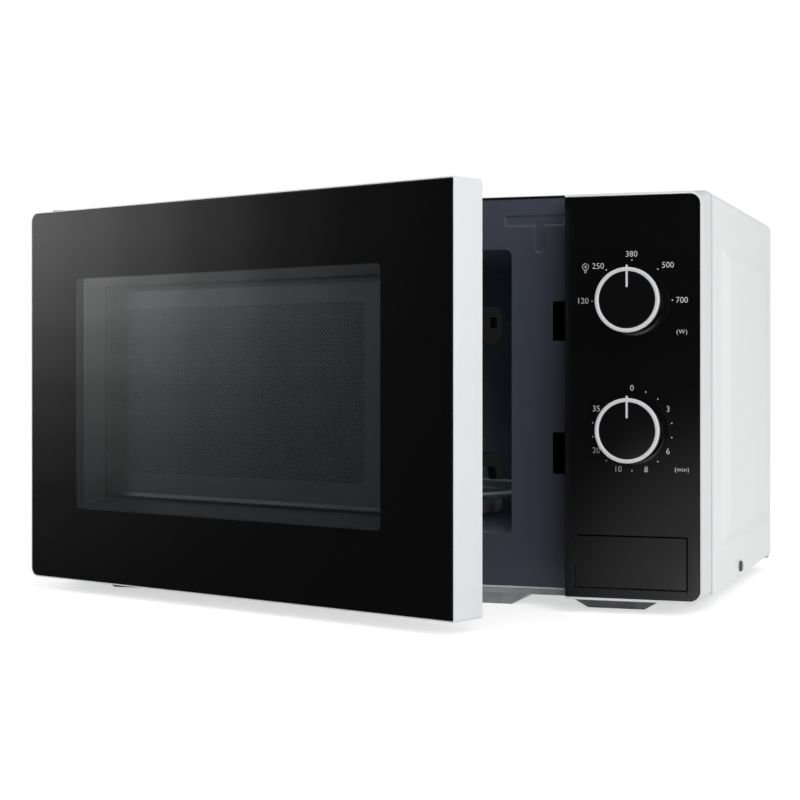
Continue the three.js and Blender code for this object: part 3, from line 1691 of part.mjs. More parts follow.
// Steel door pan: the sheet that carries the window screen, and a slotted choke edge folded forward.
function makeScreenPlate() {
  const left = doorLeft + screenHingeInset;
  const right = latchKeyX - screenLatchGap;
  const bottom = doorBottom + screenEdgeInset;
  const top = doorTop - screenEdgeInset;
  const t = caseSheet;
  const front = doorWebBack + chokeGap;
  const slotFront = front + chokeFingerRoot;
  const slotBack = screenFront - chokeFingerRoot;
  const edge = 20;
  const across = Math.floor((right - left - edge) / chokePitch);
  const up = Math.floor((top - bottom - edge) / chokePitch);
  const startX = (left + right - (across - 1) * chokePitch - chokeSlot) / 2;
  const startZ = (bottom + top - (up - 1) * chokePitch - chokeSlot) / 2;
  const slotX = grid(across, 1, (i) => {
    const x = startX + i * chokePitch;
    return block(x, x + chokeSlot, slotFront, slotBack, bottom - 1, top + 1);
  });
  const slotZ = grid(1, up, (i, j) => {
    const z = startZ + j * chokePitch;
    return block(left - 1, right + 1, slotFront, slotBack, z, z + chokeSlot);
  });
  return cut(
    block(left, right, front, screenBack, bottom, top),
    block(left + t, right - t, front - 1, screenFront, bottom + t, top - t),
    slotX,
    slotZ,
  );
}

function makeWindowFilm() {
  return prism(windowOutline(1), 'y', screenBack + seat, chokeFront - seat, 3);
}

// Dark inner cover that closes the choke, with a window hole and slots for the hooks.
function makeChokeCover() {
  const rear = doorThickness - seat;
  const room = latchHookRise + latchTravel + 1;
  const hookSlot = (z0, z1) => block(latchKeyX - 4, doorRight, chokeFront - 1, rear + 1, z0, z1);
  return cut(
    prism(doorOutline(doorWall + seat), 'y', chokeFront, rear, 4),
    prism(windowOutline(coverWindowInset), 'y', chokeFront - 1, rear + 1, 3),
    hookSlot(upperSlotMiddle - upperBarb - 1.8, upperSlotMiddle + room),
    hookSlot(lowerSlotMiddle - lowerLeg - 1.7, lowerSlotMiddle + room),
    hingeBoss(0, doorBottom + hingeBossEdge + hingeBossHeight, rear + 1, seat),
    hingeBoss(doorTop - hingeBossEdge - hingeBossHeight, caseHeight, rear + 1, seat),
  );
}

// Latch bar with its two hooks. The upper one has a barb, the lower one an arched leg.
function makeLatchKey() {
  const u = upperSlotMiddle;
  const l = lowerSlotMiddle;
  const a = latchBarFront;
  const d = doorThickness;
  const back = hookBack;
  const half = latchKeyThickness / 2;
  const upper = outline([
    [a, u - upperHookDrop],
    [d + 6, u - upperHookDrop + 2],
    [d + 7.5, u - upperBarb],
    [back - 5, u - upperBarb],
    [back, u - upperHookDrop + 1],
    [back, u + 2],
    [back - 4, u + latchHookRise],
    [a, u + 2],
  ]);
  const eyeTop = u - 1;
  const eyeBack = back - 5;
  const eye = outline([
    [eyeBack - latchEye, eyeTop - latchEye],
    [eyeBack, eyeTop - latchEye],
    [eyeBack, eyeTop],
    [eyeBack - latchEye, eyeTop],
  ]);
  const lower = outline([
    [a, l - lowerHookDrop],
    [d + 3, l - lowerHookDrop],
    [d + 6, l - 3],
    [back - 7, l - 3],
    [back - 5, l - lowerLeg],
    [back, l - lowerLeg],
    [back, l],
    [back - 6, l + latchHookRise],
    [a, l + latchHookRise],
  ]);
  const x0 = latchKeyX - half;
  const x1 = latchKeyX + half;
  return join(
    block(x0, x1, a, a + latchBarDepth, l - lowerHookDrop, u + 2),
    cut(prism(upper, 'x', x0, x1), prism(eye, 'x', x0 - 1, x1 + 1)),
    prism(lower, 'x', x0, x1),
  );
}

function makeLatchSpring() {
  const low = latchSpringFoot + seat;
  const high = lowerSlotMiddle - lowerHookDrop - seat;
  const y = latchBarFront + latchBarDepth / 2 + 0.5;
  return coil('z', latchSpringWire, latchSpringRadius, low, high, latchKeyX, y, latchSpringTurns);
}

// ---------------------------------------------------------------------------------------------
// Assembly
// ---------------------------------------------------------------------------------------------

function assembleCase(parent) {
  addPart(parent, 'cabinet', makeCabinet(), 'whitePaint');
  addPart(parent, 'side_screw', makeSideScrew(1), 'steel');
  addPart(parent, 'base_plate', makeBasePlate(), 'galvanised');
  addPart(parent, 'back_panel', makeBackPanel(), 'galvanised');
  addPart(parent, 'rear_spacer', makeRearSpacer(0), 'blackPlastic');
  addPart(parent, 'cord_gland', makeCordGland(), 'blackPlastic');
  addPart(parent, 'front_frame', makeFrontFrame(), 'enamel');
  addPart(parent, 'cavity', makeCavity(), 'enamel');
  addPart(parent, 'feed_cover', makeFeedCover(), 'mica');
  addPart(parent, 'upper_hinge', makeHinge(1), 'steel');
  addPart(parent, 'lower_hinge', makeHinge(-1), 'steel');
}

function assembleControls(parent) {
  addPart(parent, 'panel_frame', makePanelFrame(), 'whitePlastic');
  addPart(parent, 'fascia', makeFascia(), 'blackGloss');
  addPart(parent, 'release_button', makeReleaseButton(), 'blackGloss');
  addPart(parent, 'button_spring', makeButtonSpring(), 'steel');
  addPart(parent, 'power_knob', makeKnob(powerDialZ), 'blackPlastic');
  addPart(parent, 'power_knob_ring', makeKnobRing(powerDialZ), 'satinMetal');
  addPart(parent, 'power_shaft', makeDialShaft(powerDialZ), 'naturalPlastic');
  addPart(parent, 'timer_knob', makeKnob(timerDialZ), 'blackPlastic');
  addPart(parent, 'timer_knob_ring', makeKnobRing(timerDialZ), 'satinMetal');
  addPart(parent, 'timer_shaft', makeDialShaft(timerDialZ), 'naturalPlastic');
  addPart(parent, 'timer_unit', makeTimerUnit(), 'naturalPlastic');
  addPart(parent, 'timer_motor', makeTimerMotor(), 'aluminium');
  addPart(parent, 'timer_bell', makeTimerBell(), 'steel');
  addPart(parent, 'latch_body', makeLatchBody(), 'blackPlastic');
  addPart(parent, 'lower_switch', makeSwitch(switchHeights[0]), 'blackPlastic');
  addPart(parent, 'middle_switch', makeSwitch(switchHeights[1]), 'blackPlastic');
  addPart(parent, 'upper_switch', makeSwitch(switchHeights[2]), 'blackPlastic');
  addPart(parent, 'release_lever', makeReleaseLever(), 'naturalPlastic');
}

function assemblePowerBay(parent) {
  const coreBottom = baseTop + seat;
  const leg = transformerWidth / 6;
  const windingBottom = coreBottom + leg + seat;
  const windingTop = coreBottom + transformerHeight - leg - seat;
  const split = (windingBottom + windingTop) / 2;
  addPart(parent, 'waveguide', makeWaveguide(), 'galvanised');
  addPart(parent, 'magnetron_yoke', makeMagnetronYoke(), 'galvanised');
  addPart(parent, 'magnetron_anode', makeMagnetronAnode(), 'aluminium');
  addPart(parent, 'magnetron_filter', makeMagnetronFilter(), 'galvanised');
  addPart(parent, 'transformer_core', makeTransformerCore(), 'lamination');
  addPart(parent, 'primary_winding', makeWinding(windingBottom, split - seat / 2), 'copper');
  addPart(parent, 'secondary_winding', makeWinding(split + seat / 2, windingTop), 'copper');
  addPart(parent, 'capacitor', makeCapacitor(), 'aluminium');
  addPart(parent, 'capacitor_strap', makeCapacitorStrap(), 'galvanised');
  addPart(parent, 'diode', makeDiode(), 'blackPlastic');
  addPart(parent, 'fan_shroud', makeFanShroud(), 'galvanised');
  addPart(parent, 'fan_motor', makeFanMotor(), 'lamination');
  addPart(parent, 'fan', makeFan(), 'naturalPlastic');
  addPart(parent, 'lamp_holder', makeLampHolder(), 'naturalPlastic');
  addPart(parent, 'lamp_bulb', makeLampBulb(), 'clearGlass');
  addPart(parent, 'cavity_thermostat', makeCavityThermostat(), 'aluminium');
  addPart(parent, 'filter_board', makeFilterBoard(), 'circuitBoard');
}

function assembleTurntable(parent) {
  addPart(parent, 'turntable_motor', makeTurntableMotor(), 'galvanised');
  addPart(parent, 'coupler', makeCoupler(), 'naturalPlastic');
  addPart(parent, 'glass_tray', makeGlassTray(), 'clearGlass');
  addPart(parent, 'roller_ring', makeRollerRing(), 'naturalPlastic');
  rollerAngles.forEach((angle, i) => {
    addPart(parent, `roller_${i + 1}`, makeRoller(angle), 'naturalPlastic');
  });
}

function assembleDoor(parent) {
  const swing = new THREE.Group();
  swing.position.set(hingeX, hingeY, 0);
  swing.rotation.z = THREE.MathUtils.degToRad(-doorAjar);
  const leaf = new THREE.Group();
  leaf.position.set(-hingeX, -hingeY, 0);
  swing.add(leaf);
  parent.add(swing);
  addPart(leaf, 'door_frame', makeDoorFrame(), 'whitePlastic');
  addPart(leaf, 'door_glass', makeDoorGlass(), 'doorGlass');
  addPart(leaf, 'screen_plate', makeScreenPlate(), 'blackPlastic');
  addPart(leaf, 'window_film', makeWindowFilm(), 'clearFilm');
  addPart(leaf, 'choke_cover', makeChokeCover(), 'blackPlastic');
  addPart(leaf, 'latch_key', makeLatchKey(), 'blackPlastic');
  addPart(leaf, 'latch_spring', makeLatchSpring(), 'steel');
}

const oven = new THREE.Group();
assembleCase(oven);
assembleControls(oven);
assemblePowerBay(oven);
assembleTurntable(oven);
assembleDoor(oven);

const bounds = new THREE.Box3().setFromObject(oven, true);
const middle = bounds.getCenter(new THREE.Vector3());
oven.position.set(-middle.x, -middle.y, -bounds.min.z);

const group = new THREE.Group();
group.add(oven);
export default group;
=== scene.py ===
# %% [markdown]
# # A countertop microwave oven
# The oven is a painted steel box with a black glass door on the left and a glossy black control
# panel on the right. The fixed frame below holds every real part at its real size. This lesson
# gives those parts their rounded edges, their fine detail and their finishes.

# %% Load the fixed frame
import json
import math

import bmesh
import bpy
from mathutils import Matrix, Vector

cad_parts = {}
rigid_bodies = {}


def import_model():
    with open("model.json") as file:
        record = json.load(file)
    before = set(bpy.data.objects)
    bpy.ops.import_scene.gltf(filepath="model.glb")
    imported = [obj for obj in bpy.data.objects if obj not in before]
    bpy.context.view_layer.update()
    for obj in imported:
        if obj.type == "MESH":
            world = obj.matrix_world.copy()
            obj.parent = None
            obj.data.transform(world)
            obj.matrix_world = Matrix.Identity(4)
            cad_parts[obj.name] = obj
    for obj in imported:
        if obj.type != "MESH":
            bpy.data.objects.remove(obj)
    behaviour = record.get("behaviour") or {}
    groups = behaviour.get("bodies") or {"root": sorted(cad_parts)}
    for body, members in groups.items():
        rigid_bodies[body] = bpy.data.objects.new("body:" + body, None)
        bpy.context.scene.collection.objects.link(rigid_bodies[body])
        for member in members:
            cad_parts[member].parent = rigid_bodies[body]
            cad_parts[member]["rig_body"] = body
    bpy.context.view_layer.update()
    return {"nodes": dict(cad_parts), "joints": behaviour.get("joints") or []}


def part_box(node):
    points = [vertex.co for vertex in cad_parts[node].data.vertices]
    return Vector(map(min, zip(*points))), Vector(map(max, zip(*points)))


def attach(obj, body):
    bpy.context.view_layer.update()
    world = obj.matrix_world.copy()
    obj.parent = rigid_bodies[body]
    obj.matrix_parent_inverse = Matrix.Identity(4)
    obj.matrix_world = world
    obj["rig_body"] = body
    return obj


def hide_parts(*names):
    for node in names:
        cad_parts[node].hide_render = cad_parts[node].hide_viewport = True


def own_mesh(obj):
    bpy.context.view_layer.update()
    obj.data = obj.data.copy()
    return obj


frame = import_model()
nodes = frame["nodes"]

# %% [markdown]
# ## Camera
# A long lens held level keeps the upright edges parallel, as in a product picture. The small
# downward shift brings the oven to the middle without tilting the camera.

# %% Camera
CAMERA_PLACE = (0.41124, -1.18155, 0.14779)
CAMERA_TURN = math.radians(19.06)
LENS_MM = 81.06
SHIFT_DOWN = -0.0331

camera_data = bpy.data.cameras.new("camera")
camera_data.lens = LENS_MM
camera_data.sensor_width = 36
camera_data.shift_y = SHIFT_DOWN
camera = bpy.data.objects.new("camera", camera_data)
camera.location = CAMERA_PLACE
camera.rotation_euler = (math.radians(90), 0, CAMERA_TURN)
bpy.context.scene.collection.objects.link(camera)
bpy.context.scene.camera = camera
bpy.context.scene.view_settings.view_transform = "Standard"
print("camera at", CAMERA_PLACE, "lens", LENS_MM, "mm")

# %% [markdown]
# ## Working in millimetres
# Makers think in millimetres from a handy corner: X from the middle of the case, Y back from the
# face of the control panel, Z up from the table. One function turns that into the frame's metres.
# The door is easier to draw shut, so a second step swings a finished piece to its resting angle.

# %% Places
MM = 0.001
case_low, case_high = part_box("cabinet")
CASE_MIDDLE = (case_low.x + case_high.x) / 2
PANEL_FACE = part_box("fascia")[0].y


def place(x, y, z):
    """A point of the case in millimetres, as metres in the row frame."""
    return Vector((CASE_MIDDLE + x * MM, PANEL_FACE + y * MM, z * MM))


hinge = next(joint for joint in frame["joints"] if joint["name"] == "door_hinge")
HINGE_PLACE = Vector(hinge["pos_m"])
DOOR_AJAR = math.radians(hinge["range_deg"][0])
DOOR_SWING = (
    Matrix.Translation(HINGE_PLACE)
    @ Matrix.Rotation(DOOR_AJAR, 4, "Z")
    @ Matrix.Translation(-HINGE_PLACE)
)
print("door rests", round(math.degrees(-DOOR_AJAR), 1), "degrees open")

# %% [markdown]
# ## Tools for materials
# Three small tools are enough for every finish: one turns a colour swatch into the linear values
# that Blender mixes, one starts a material, and one adds any node with its settings and links.

# %% Material tools
def tone(swatch):
    """An sRGB hex swatch as linear red, green, blue and alpha."""
    channels = [int(swatch[i:i + 2], 16) / 255 for i in (1, 3, 5)]
    linear = [c / 12.92 if c <= 0.04045 else ((c + 0.055) / 1.055) ** 2.4 for c in channels]
    return (*linear, 1.0)


def start_material(name, slot):
    """An empty node material that remembers which slot of the record it belongs to."""
    material = bpy.data.materials.new(name)
    material.use_nodes = True
    material.node_tree.nodes.clear()
    material["slot"] = slot
    return material


def add(material, kind, sockets=None, **settings):
    """Adds one node. A socket is given a plain value or another node's output."""
    node = material.node_tree.nodes.new(kind)
    for name, value in settings.items():
        setattr(node, name, value)
    for name, value in (sockets or {}).items():
        if isinstance(value, bpy.types.NodeSocket):
            material.node_tree.links.new(value, node.inputs[name])
        else:
            node.inputs[name].default_value = value
    return node


def per_mm(size):
    """The noise scale that gives features of this size in millimetres."""
    return 1 / (size * MM)


def surface(material, shader):
    add(material, "ShaderNodeOutputMaterial", {"Surface": shader})
    return material


print("material tools ready")

# %% [markdown]
# ## One recipe for solid finishes
# Most finishes differ only in numbers: two close colours that drift into each other, a roughness
# that wanders a little, and a fine relief. The relief of each is set from a real size, such as the
# orange peel of powder coat, and its depth in millimetres.

# %% Solid finishes
def solid_finish(name, slot, light, dark, drift_mm, grain_mm, depth_mm, rough, metal=0.0, **more):
    """A surface with drifting colour, wandering roughness and a fine grain."""
    material = start_material(name, slot)
    where = add(material, "ShaderNodeTexCoord").outputs["Object"]
    drift = add(
        material,
        "ShaderNodeTexNoise",
        {"Vector": where, "Scale": per_mm(drift_mm), "Detail": 3.0},
    ).outputs["Fac"]
    colour = add(
        material,
        "ShaderNodeMix",
        {"Factor": drift},
        data_type="RGBA",
    )
    # the colour sockets of a Mix node share their names with its number sockets
    colour.inputs[6].default_value = tone(light)
    colour.inputs[7].default_value = tone(dark)
    grain = add(
        material,
        "ShaderNodeTexNoise",
        {"Vector": where, "Scale": per_mm(grain_mm), "Detail": 2.0},
    ).outputs["Fac"]
    wander = add(
        material,
        "ShaderNodeMapRange",
        {"Value": drift, "To Min": rough - 0.04, "To Max": rough + 0.04},
    ).outputs["Result"]
    relief = add(
        material,
        "ShaderNodeBump",
        {"Height": grain, "Strength": 0.6, "Distance": depth_mm * MM},
    ).outputs["Normal"]
    shader = add(
        material,
        "ShaderNodeBsdfPrincipled",
        {
            "Base Color": colour.outputs[2],
            "Roughness": wander,
            "Normal": relief,
            "Metallic": metal,
            **more,
        },
    )
    material.node_tree.nodes.active = shader
    return surface(material, shader.outputs["BSDF"])


powder_coat = solid_finish(
    "white_powder_coat", "white_paint", "#f1f2f2", "#ecedee", 60, 1.6, 0.02, 0.34)
white_abs = solid_finish(
    "moulded_white_abs", "white_plastic", "#e4e5e6", "#dedfe1", 40, 0.6, 0.006, 0.3)
face_enamel = solid_finish(
    "blue_grey_enamel", "enamel", "#454a57", "#41434e", 70, 1.2, 0.003, 0.16)
# The cavity's walls take a much lighter enamel than the frame's: painted light for the dim inside
# of the oven.
lightened_cavity_enamel = solid_finish(
    "oven_wall_enamel_lightened", "enamel", "#9aa1b4", "#8d94a6", 30, 1.2, 0.006, 0.3)
black_acrylic = solid_finish(
    "polished_black_acrylic", "black_gloss", "#060607", "#040405", 40, 2.5, 0.0008, 0.09)
black_abs = solid_finish(
    "moulded_black_abs", "black_plastic", "#121315", "#0d0e0f", 25, 0.5, 0.008, 0.4,
    **{"Specular IOR Level": 0.15})
knob_abs = solid_finish(
    "polished_black_abs", "black_plastic", "#08080a", "#060607", 25, 0.5, 0.002, 0.1)
screen_coat = solid_finish(
    "charcoal_painted_steel", "screen_paint", "#67686d", "#5e5f63", 35, 0.8, 0.004, 0.29, 0.85)
liner_abs = solid_finish(
    "satin_liner_abs", "black_plastic", "#242528", "#1f2023", 30, 0.6, 0.001, 0.45)
# A lighter copy of the liner's plastic: painted light, so that its rim and top run, which get less
# light, look as lit as its side walls.
liner_lit_copy = solid_finish(
    "liner_painted_light", "black_plastic", "#4f5054", "#4a4b4f", 30, 0.6, 0.001, 0.45)
hook_acetal = solid_finish(
    "black_acetal", "black_plastic", "#0b0b0c", "#080809", 20, 0.4, 0.004, 0.5,
    **{"Specular IOR Level": 0.06})
# A grey for the cabinet's front edge: painted shade for the shaded gap behind the panel.
gap_shade_grey = solid_finish(
    "painted_gap_shade_edge", "white_paint", "#cccdcf", "#c2c3c5", 9, 0.6, 0.01, 0.45)
# A matt near-black: the fascia's cut edges, and painted shade for the groove beside the window
# liner.
matt_edge_and_groove_shade = solid_finish(
    "matt_edge_and_painted_groove_shade", "black_plastic", "#050506", "#040405", 12, 0.3, 0.002, 0.9,
    **{"Specular IOR Level": 0.02})
# A near-white, faintly glowing finish for the tray's rim and foot ring: painted highlight and
# painted glow.
rim_glow_highlight = solid_finish(
    "rim_painted_glow_highlight", "clear_glass", "#d6dddd", "#cdd5d5", 14, 0.2, 0.001, 0.12, 0.3,
    **{"Emission Color": tone("#dfe8e8"), "Emission Strength": 0.055})
nylon = solid_finish(
    "natural_nylon", "natural_plastic", "#e6e2d6", "#dcd8ca", 25, 0.8, 0.01, 0.5)
mica_sheet = solid_finish(
    "pressed_mica", "mica", "#b9ab8c", "#a3946f", 6, 1.0, 0.02, 0.55)
board_laminate = solid_finish(
    "phenolic_board", "board", "#a3814c", "#8e6f40", 12, 0.8, 0.01, 0.55)
core_steel = solid_finish(
    "varnished_laminations", "lamination", "#5c6064", "#474b4f", 8, 0.7, 0.03, 0.5, 0.8)
winding_copper = solid_finish(
    "enamelled_copper", "copper", "#bd6c3c", "#a55a2f", 5, 0.9, 0.05, 0.35, 1.0)
cast_aluminium = solid_finish(
    "mill_aluminium", "aluminium", "#cdcfd1", "#bdbfc2", 14, 0.6, 0.008, 0.38, 1.0)
plated_steel = solid_finish(
    "zinc_plated_steel", "steel", "#b9bcbe", "#a6a9ac", 10, 0.5, 0.006, 0.33, 1.0)
black_zinc = solid_finish(
    "black_zinc_screw", "steel", "#5e6063", "#47494b", 4, 0.5, 0.006, 0.3, 1.0)
print("plain finishes made")

# %% [markdown]
# ## Galvanised sheet
# Hot-dipped zinc freezes into crystals a few millimetres across, the spangle. A cell pattern with
# one random value per cell gives each crystal its own grey and its own roughness.

# %% Galvanised sheet
SPANGLE_MM = 7

galvanised = start_material("spangled_zinc_sheet", "galvanised")
zinc_place = add(galvanised, "ShaderNodeTexCoord").outputs["Object"]
crystals = add(
    galvanised, "ShaderNodeTexVoronoi", {"Vector": zinc_place, "Scale": per_mm(SPANGLE_MM)})
crystal_shade = add(
    galvanised, "ShaderNodeSeparateColor", {"Color": crystals.outputs["Color"]}).outputs["Red"]
zinc_colour = add(
    galvanised, "ShaderNodeMix", {"Factor": crystal_shade}, data_type="RGBA")
zinc_colour.inputs[6].default_value = tone("#96999c")
zinc_colour.inputs[7].default_value = tone("#a3a6a9")
zinc_rough = add(
    galvanised,
    "ShaderNodeMapRange",
    {"Value": crystal_shade, "To Min": 0.36, "To Max": 0.52},
).outputs["Result"]
zinc_shader = add(
    galvanised,
    "ShaderNodeBsdfPrincipled",
    {"Base Color": zinc_colour.outputs[2], "Roughness": zinc_rough, "Metallic": 0.2},
)
surface(galvanised, zinc_shader.outputs["BSDF"])
# A near-white zinc for the base's rolled edge: the edge is real, and its highlight is painted into
# the colour.
zinc_edge_highlight = solid_finish(
    "rolled_zinc_edge_painted_highlight", "galvanised", "#e2e4e6", "#c4c7ca", 9, 0.6, 0.01, 0.3, 0.1)
print("spangle of", SPANGLE_MM, "mm")

# %% [markdown]
# ## Silvered trim
# The rings round the knobs are moulded plastic with a satin silver coat. The coat holds aluminium
# flakes in a clear binder, so it shines softly from every side instead of mirroring the room.

# %% Silvered trim
silver_coat = solid_finish(
    "satin_silver_coat", "satin_metal", "#eeeef0", "#dedfe2", 3, 0.35, 0.01, 0.3, 0.25)
print("trim finish", silver_coat.name)

# %% [markdown]
# ## Glass
# A flat pane hardly bends what is behind it. It lets most light straight through and mirrors a
# few percent, more at a slant. A clear shader mixed with a glossy one does this, lets lamps reach
# what is behind, and stays quick. The share that is mirrored follows Schlick's rule for glass.
# The door's window has a clear film on each face, so it mirrors about twice as much as bare
# glass. The film behind the screen is smoked, which keeps the screen's holes dark.

# %% Clear glass
GLASS_HEAD_ON = 0.04


def pane_finish(name, slot, tint, rough=0.0, head_on=GLASS_HEAD_ON):
    """Thin glass or film: clear with a tint, and glossy by Schlick's rule."""
    material = start_material(name, slot)
    facing = add(material, "ShaderNodeLayerWeight", {"Blend": 0.5}).outputs["Facing"]
    steep = add(
        material, "ShaderNodeMath", {0: facing, 1: 5.0}, operation="POWER").outputs["Value"]
    share = add(
        material,
        "ShaderNodeMapRange",
        {"Value": steep, "To Min": head_on, "To Max": 1.0},
    ).outputs["Result"]
    clear = add(material, "ShaderNodeBsdfTransparent", {"Color": tone(tint)}).outputs["BSDF"]
    where = add(material, "ShaderNodeTexCoord").outputs["Object"]
    ripple = add(
        material, "ShaderNodeTexNoise", {"Vector": where, "Scale": per_mm(90), "Detail": 1.0})
    waves = add(
        material,
        "ShaderNodeBump",
        {"Height": ripple.outputs["Fac"], "Strength": 0.2, "Distance": 0.05 * MM},
    )
    shine = add(
        material,
        "ShaderNodeBsdfAnisotropic",
        {"Color": tone("#ffffff"), "Roughness": rough, "Normal": waves.outputs["Normal"]},
    ).outputs["BSDF"]
    mixed = add(material, "ShaderNodeMixShader", {0: share, 1: clear, 2: shine})
    return surface(material, mixed.outputs["Shader"])


float_glass = pane_finish("clear_float_glass", "door_glass", "#f4f6f6", 0.02, 0.07)
tray_glass = pane_finish("pressed_soda_glass", "clear_glass", "#e4edeb", 0.03, 0.08)
polyester = pane_finish("smoked_polyester_film", "clear_film", "#74777a", 0.08, 0.01)
glass_print = solid_finish(
    "black_printed_glass", "door_glass", "#050506", "#040405", 50, 90, 0.01, 0.05)
white_print = solid_finish(
    "white_pad_print", "black_gloss", "#d9dadb", "#c9cacb", 2, 0.3, 0.002, 0.5)
print("glass finishes made")

# %% [markdown]
# ## Softening the edges of a part
# Nothing sheet-formed or moulded has a knife edge. The frame's parts come as triangles, so a copy
# is welded, its flat faces are joined again, and every sharp edge is rounded by a real bevel.
# Smooth shading with weighted normals then keeps the flats flat. The copy stands in for the
# frame's part.

# %% Softening tools
SHARP = math.radians(28)


def smooth(piece, sharp=SHARP):
    """Smooth shading that keeps flats flat."""
    mesh = piece.data
    mesh.polygons.foreach_set("use_smooth", [True] * len(mesh.polygons))
    mesh.set_sharp_from_angle(angle=sharp)
    weighted = piece.modifiers.new("flat faces stay flat", "WEIGHTED_NORMAL")
    weighted.keep_sharp = True
    return piece


def make_piece(name, mesh, body, *finishes):
    """A new piece with its finishes, riding on a body of the frame."""
    piece = bpy.data.objects.new(name, mesh)
    bpy.context.scene.collection.objects.link(piece)
    for finish in finishes:
        mesh.materials.append(finish)
    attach(piece, body)
    return piece


def soft_mesh(node, round_mm, clamp=True):
    """A welded copy of a part's mesh with its sharp edges bevelled."""
    work = bmesh.new()
    work.from_mesh(nodes[node].data)
    bmesh.ops.remove_doubles(work, verts=work.verts, dist=0.001 * MM)
    bmesh.ops.dissolve_limit(
        work, angle_limit=math.radians(0.5), verts=work.verts, edges=work.edges)
    edges = [e for e in work.edges if e.is_manifold and e.calc_face_angle(0) > SHARP]
    if round_mm:
        bmesh.ops.bevel(
            work,
            geom=edges,
            offset=round_mm * MM,
            offset_type="OFFSET",
            segments=2,
            profile=0.5,
            affect="EDGES",
            clamp_overlap=clamp,
        )
    mesh = bpy.data.meshes.new(node)
    work.to_mesh(mesh)
    work.free()
    return mesh


def soften(node, finish, round_mm, clamp=True):
    """Stands a softened copy in for a part of the frame."""
    body = nodes[node]["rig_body"]
    piece = make_piece(node + "_finished", soft_mesh(node, round_mm, clamp), body, finish)
    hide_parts(node)
    return smooth(piece)


print("softening tools ready")

# %% [markdown]
# ## Parts that keep their shape
# Pressed sheet gets a tight 0.2 mm edge, mouldings a rounder one, and machined or wound parts
# something between. The list gives each part its finish and its edge in millimetres.

# %% Softened parts
SOFTENED = [
    (galvanised, 0.25, ["base_plate", "back_panel", "fan_shroud", "waveguide", "magnetron_yoke",
                        "magnetron_filter", "capacitor_strap", "turntable_motor"]),
    (plated_steel, 0.25, ["upper_hinge", "lower_hinge", "timer_bell"]),
    (black_zinc, 0.2, ["side_screw"]),
    (lightened_cavity_enamel, 0.2, ["cavity"]),
    (black_abs, 0.4, ["rear_spacer", "cord_gland", "choke_cover", "lower_switch",
                      "middle_switch", "upper_switch", "diode", "latch_body"]),
    (hook_acetal, 0.4, ["latch_key"]),
    (nylon, 0.3, ["release_lever", "timer_unit", "power_shaft", "timer_shaft",
                  "lamp_holder", "coupler", "roller_1", "roller_2", "roller_3", "fan"]),
    (mica_sheet, 0.1, ["feed_cover"]),
    (board_laminate, 0.2, ["filter_board"]),
    (core_steel, 0.3, ["transformer_core", "fan_motor"]),
    (winding_copper, 1.2, ["primary_winding", "secondary_winding"]),
    (cast_aluminium, 0.3, ["timer_motor", "magnetron_anode", "capacitor", "cavity_thermostat"]),
    (tray_glass, 0.1, ["lamp_bulb"]),
]
for finish, round_mm, names in SOFTENED:
    for name in names:
        soften(name, finish, round_mm)
panel_shell = soften("panel_frame", white_abs, 0.5)
button = soften("release_button", black_acrylic, 0.2)
face_plate = soften("front_frame", face_enamel, 0.15, clamp=False)
soften("roller_ring", nylon, 0.6)
print("softened", sum(len(row[2]) for row in SOFTENED), "listed parts")

# %% [markdown]
# The base sheet's side edges are drawn in behind the wrap, so that only the wrap shows from the
# side.

# %% Base edges
EDGE_FROM = 224.0
EDGE_FOLD = 8.5
EDGE_UNDER = 11.0
for vertex in bpy.data.objects["base_plate_finished"].data.vertices:
    x = (vertex.co.x - CASE_MIDDLE) / MM
    if abs(x) > EDGE_FROM and vertex.co.z < EDGE_UNDER * MM:
        vertex.co.x -= math.copysign(EDGE_FOLD * MM, x)
print("base edges folded in", EDGE_FOLD, "mm")

# %% [markdown]
# The panel's moulding is a little smaller than the case in front and meets its outline at the back:
# the top, the bottom and the two right-hand corners lean outwards with depth. The wall near the
# back leans in again by half a millimetre, which leaves a fine shadow line beside the sheet.

# %% Panel moulding
FLARE_FROM = 6.0
FLARE_TO = 36.0
LEAN_FROM = 30.0
LEAN_IN = 0.55
FLARE_WALL = 3.0
FLARE_CORNER = 12
FLARE_CUTS = (6.5, 14.0, 22.0, 30.0, 33.0)
LEAN_WALL = 1.5
SIDE = 227.5
FRONT_TOP = (219.7, 250.0, 7.8)
BACK_TOP = (221.5, 255.5, 6.0)
FRONT_LOW = (219.7, 16.8, 7.8)
BACK_LOW = (225.0, 13.1, 2.5)


def flared(x, y, z):
    """Where a point of the moulding's outer wall goes as the outline grows with depth."""
    share = max(0.0, min(1.0, (y - FLARE_FROM) / (FLARE_TO - FLARE_FROM)))
    side_in = SIDE - x
    top_in = FRONT_TOP[1] + FRONT_TOP[2] - z
    low_in = z - FRONT_LOW[1] + FRONT_LOW[2]
    if min(side_in, top_in, low_in) > FLARE_WALL and side_in + min(top_in, low_in) > FLARE_CORNER:
        return x, z
    new_x, new_z = x, z
    for front, back, sign in ((FRONT_TOP, BACK_TOP, 1), (FRONT_LOW, BACK_LOW, -1)):
        if (z - front[1]) * sign > 0:
            if x > front[0]:
                angle = math.atan2(z - front[1], x - front[0])
                inner = front[2] - math.hypot(x - front[0], z - front[1])
                reach = max(back[2] - inner, 0.05)
                new_x = back[0] + reach * math.cos(angle)
                new_z = back[1] + reach * math.sin(angle)
            else:
                new_z = z + back[1] - front[1] + (back[2] - front[2]) * sign
    if x > FRONT_TOP[0] and FRONT_LOW[1] <= z <= FRONT_TOP[1]:
        part = (z - FRONT_LOW[1]) / (FRONT_TOP[1] - FRONT_LOW[1])
        new_z = BACK_LOW[1] + part * (BACK_TOP[1] - BACK_LOW[1])
    x += (new_x - x) * share
    z += (new_z - z) * share
    if side_in < LEAN_WALL:
        x -= LEAN_IN * max(0.0, (y - LEAN_FROM) / (FLARE_TO - LEAN_FROM))
    return x, z


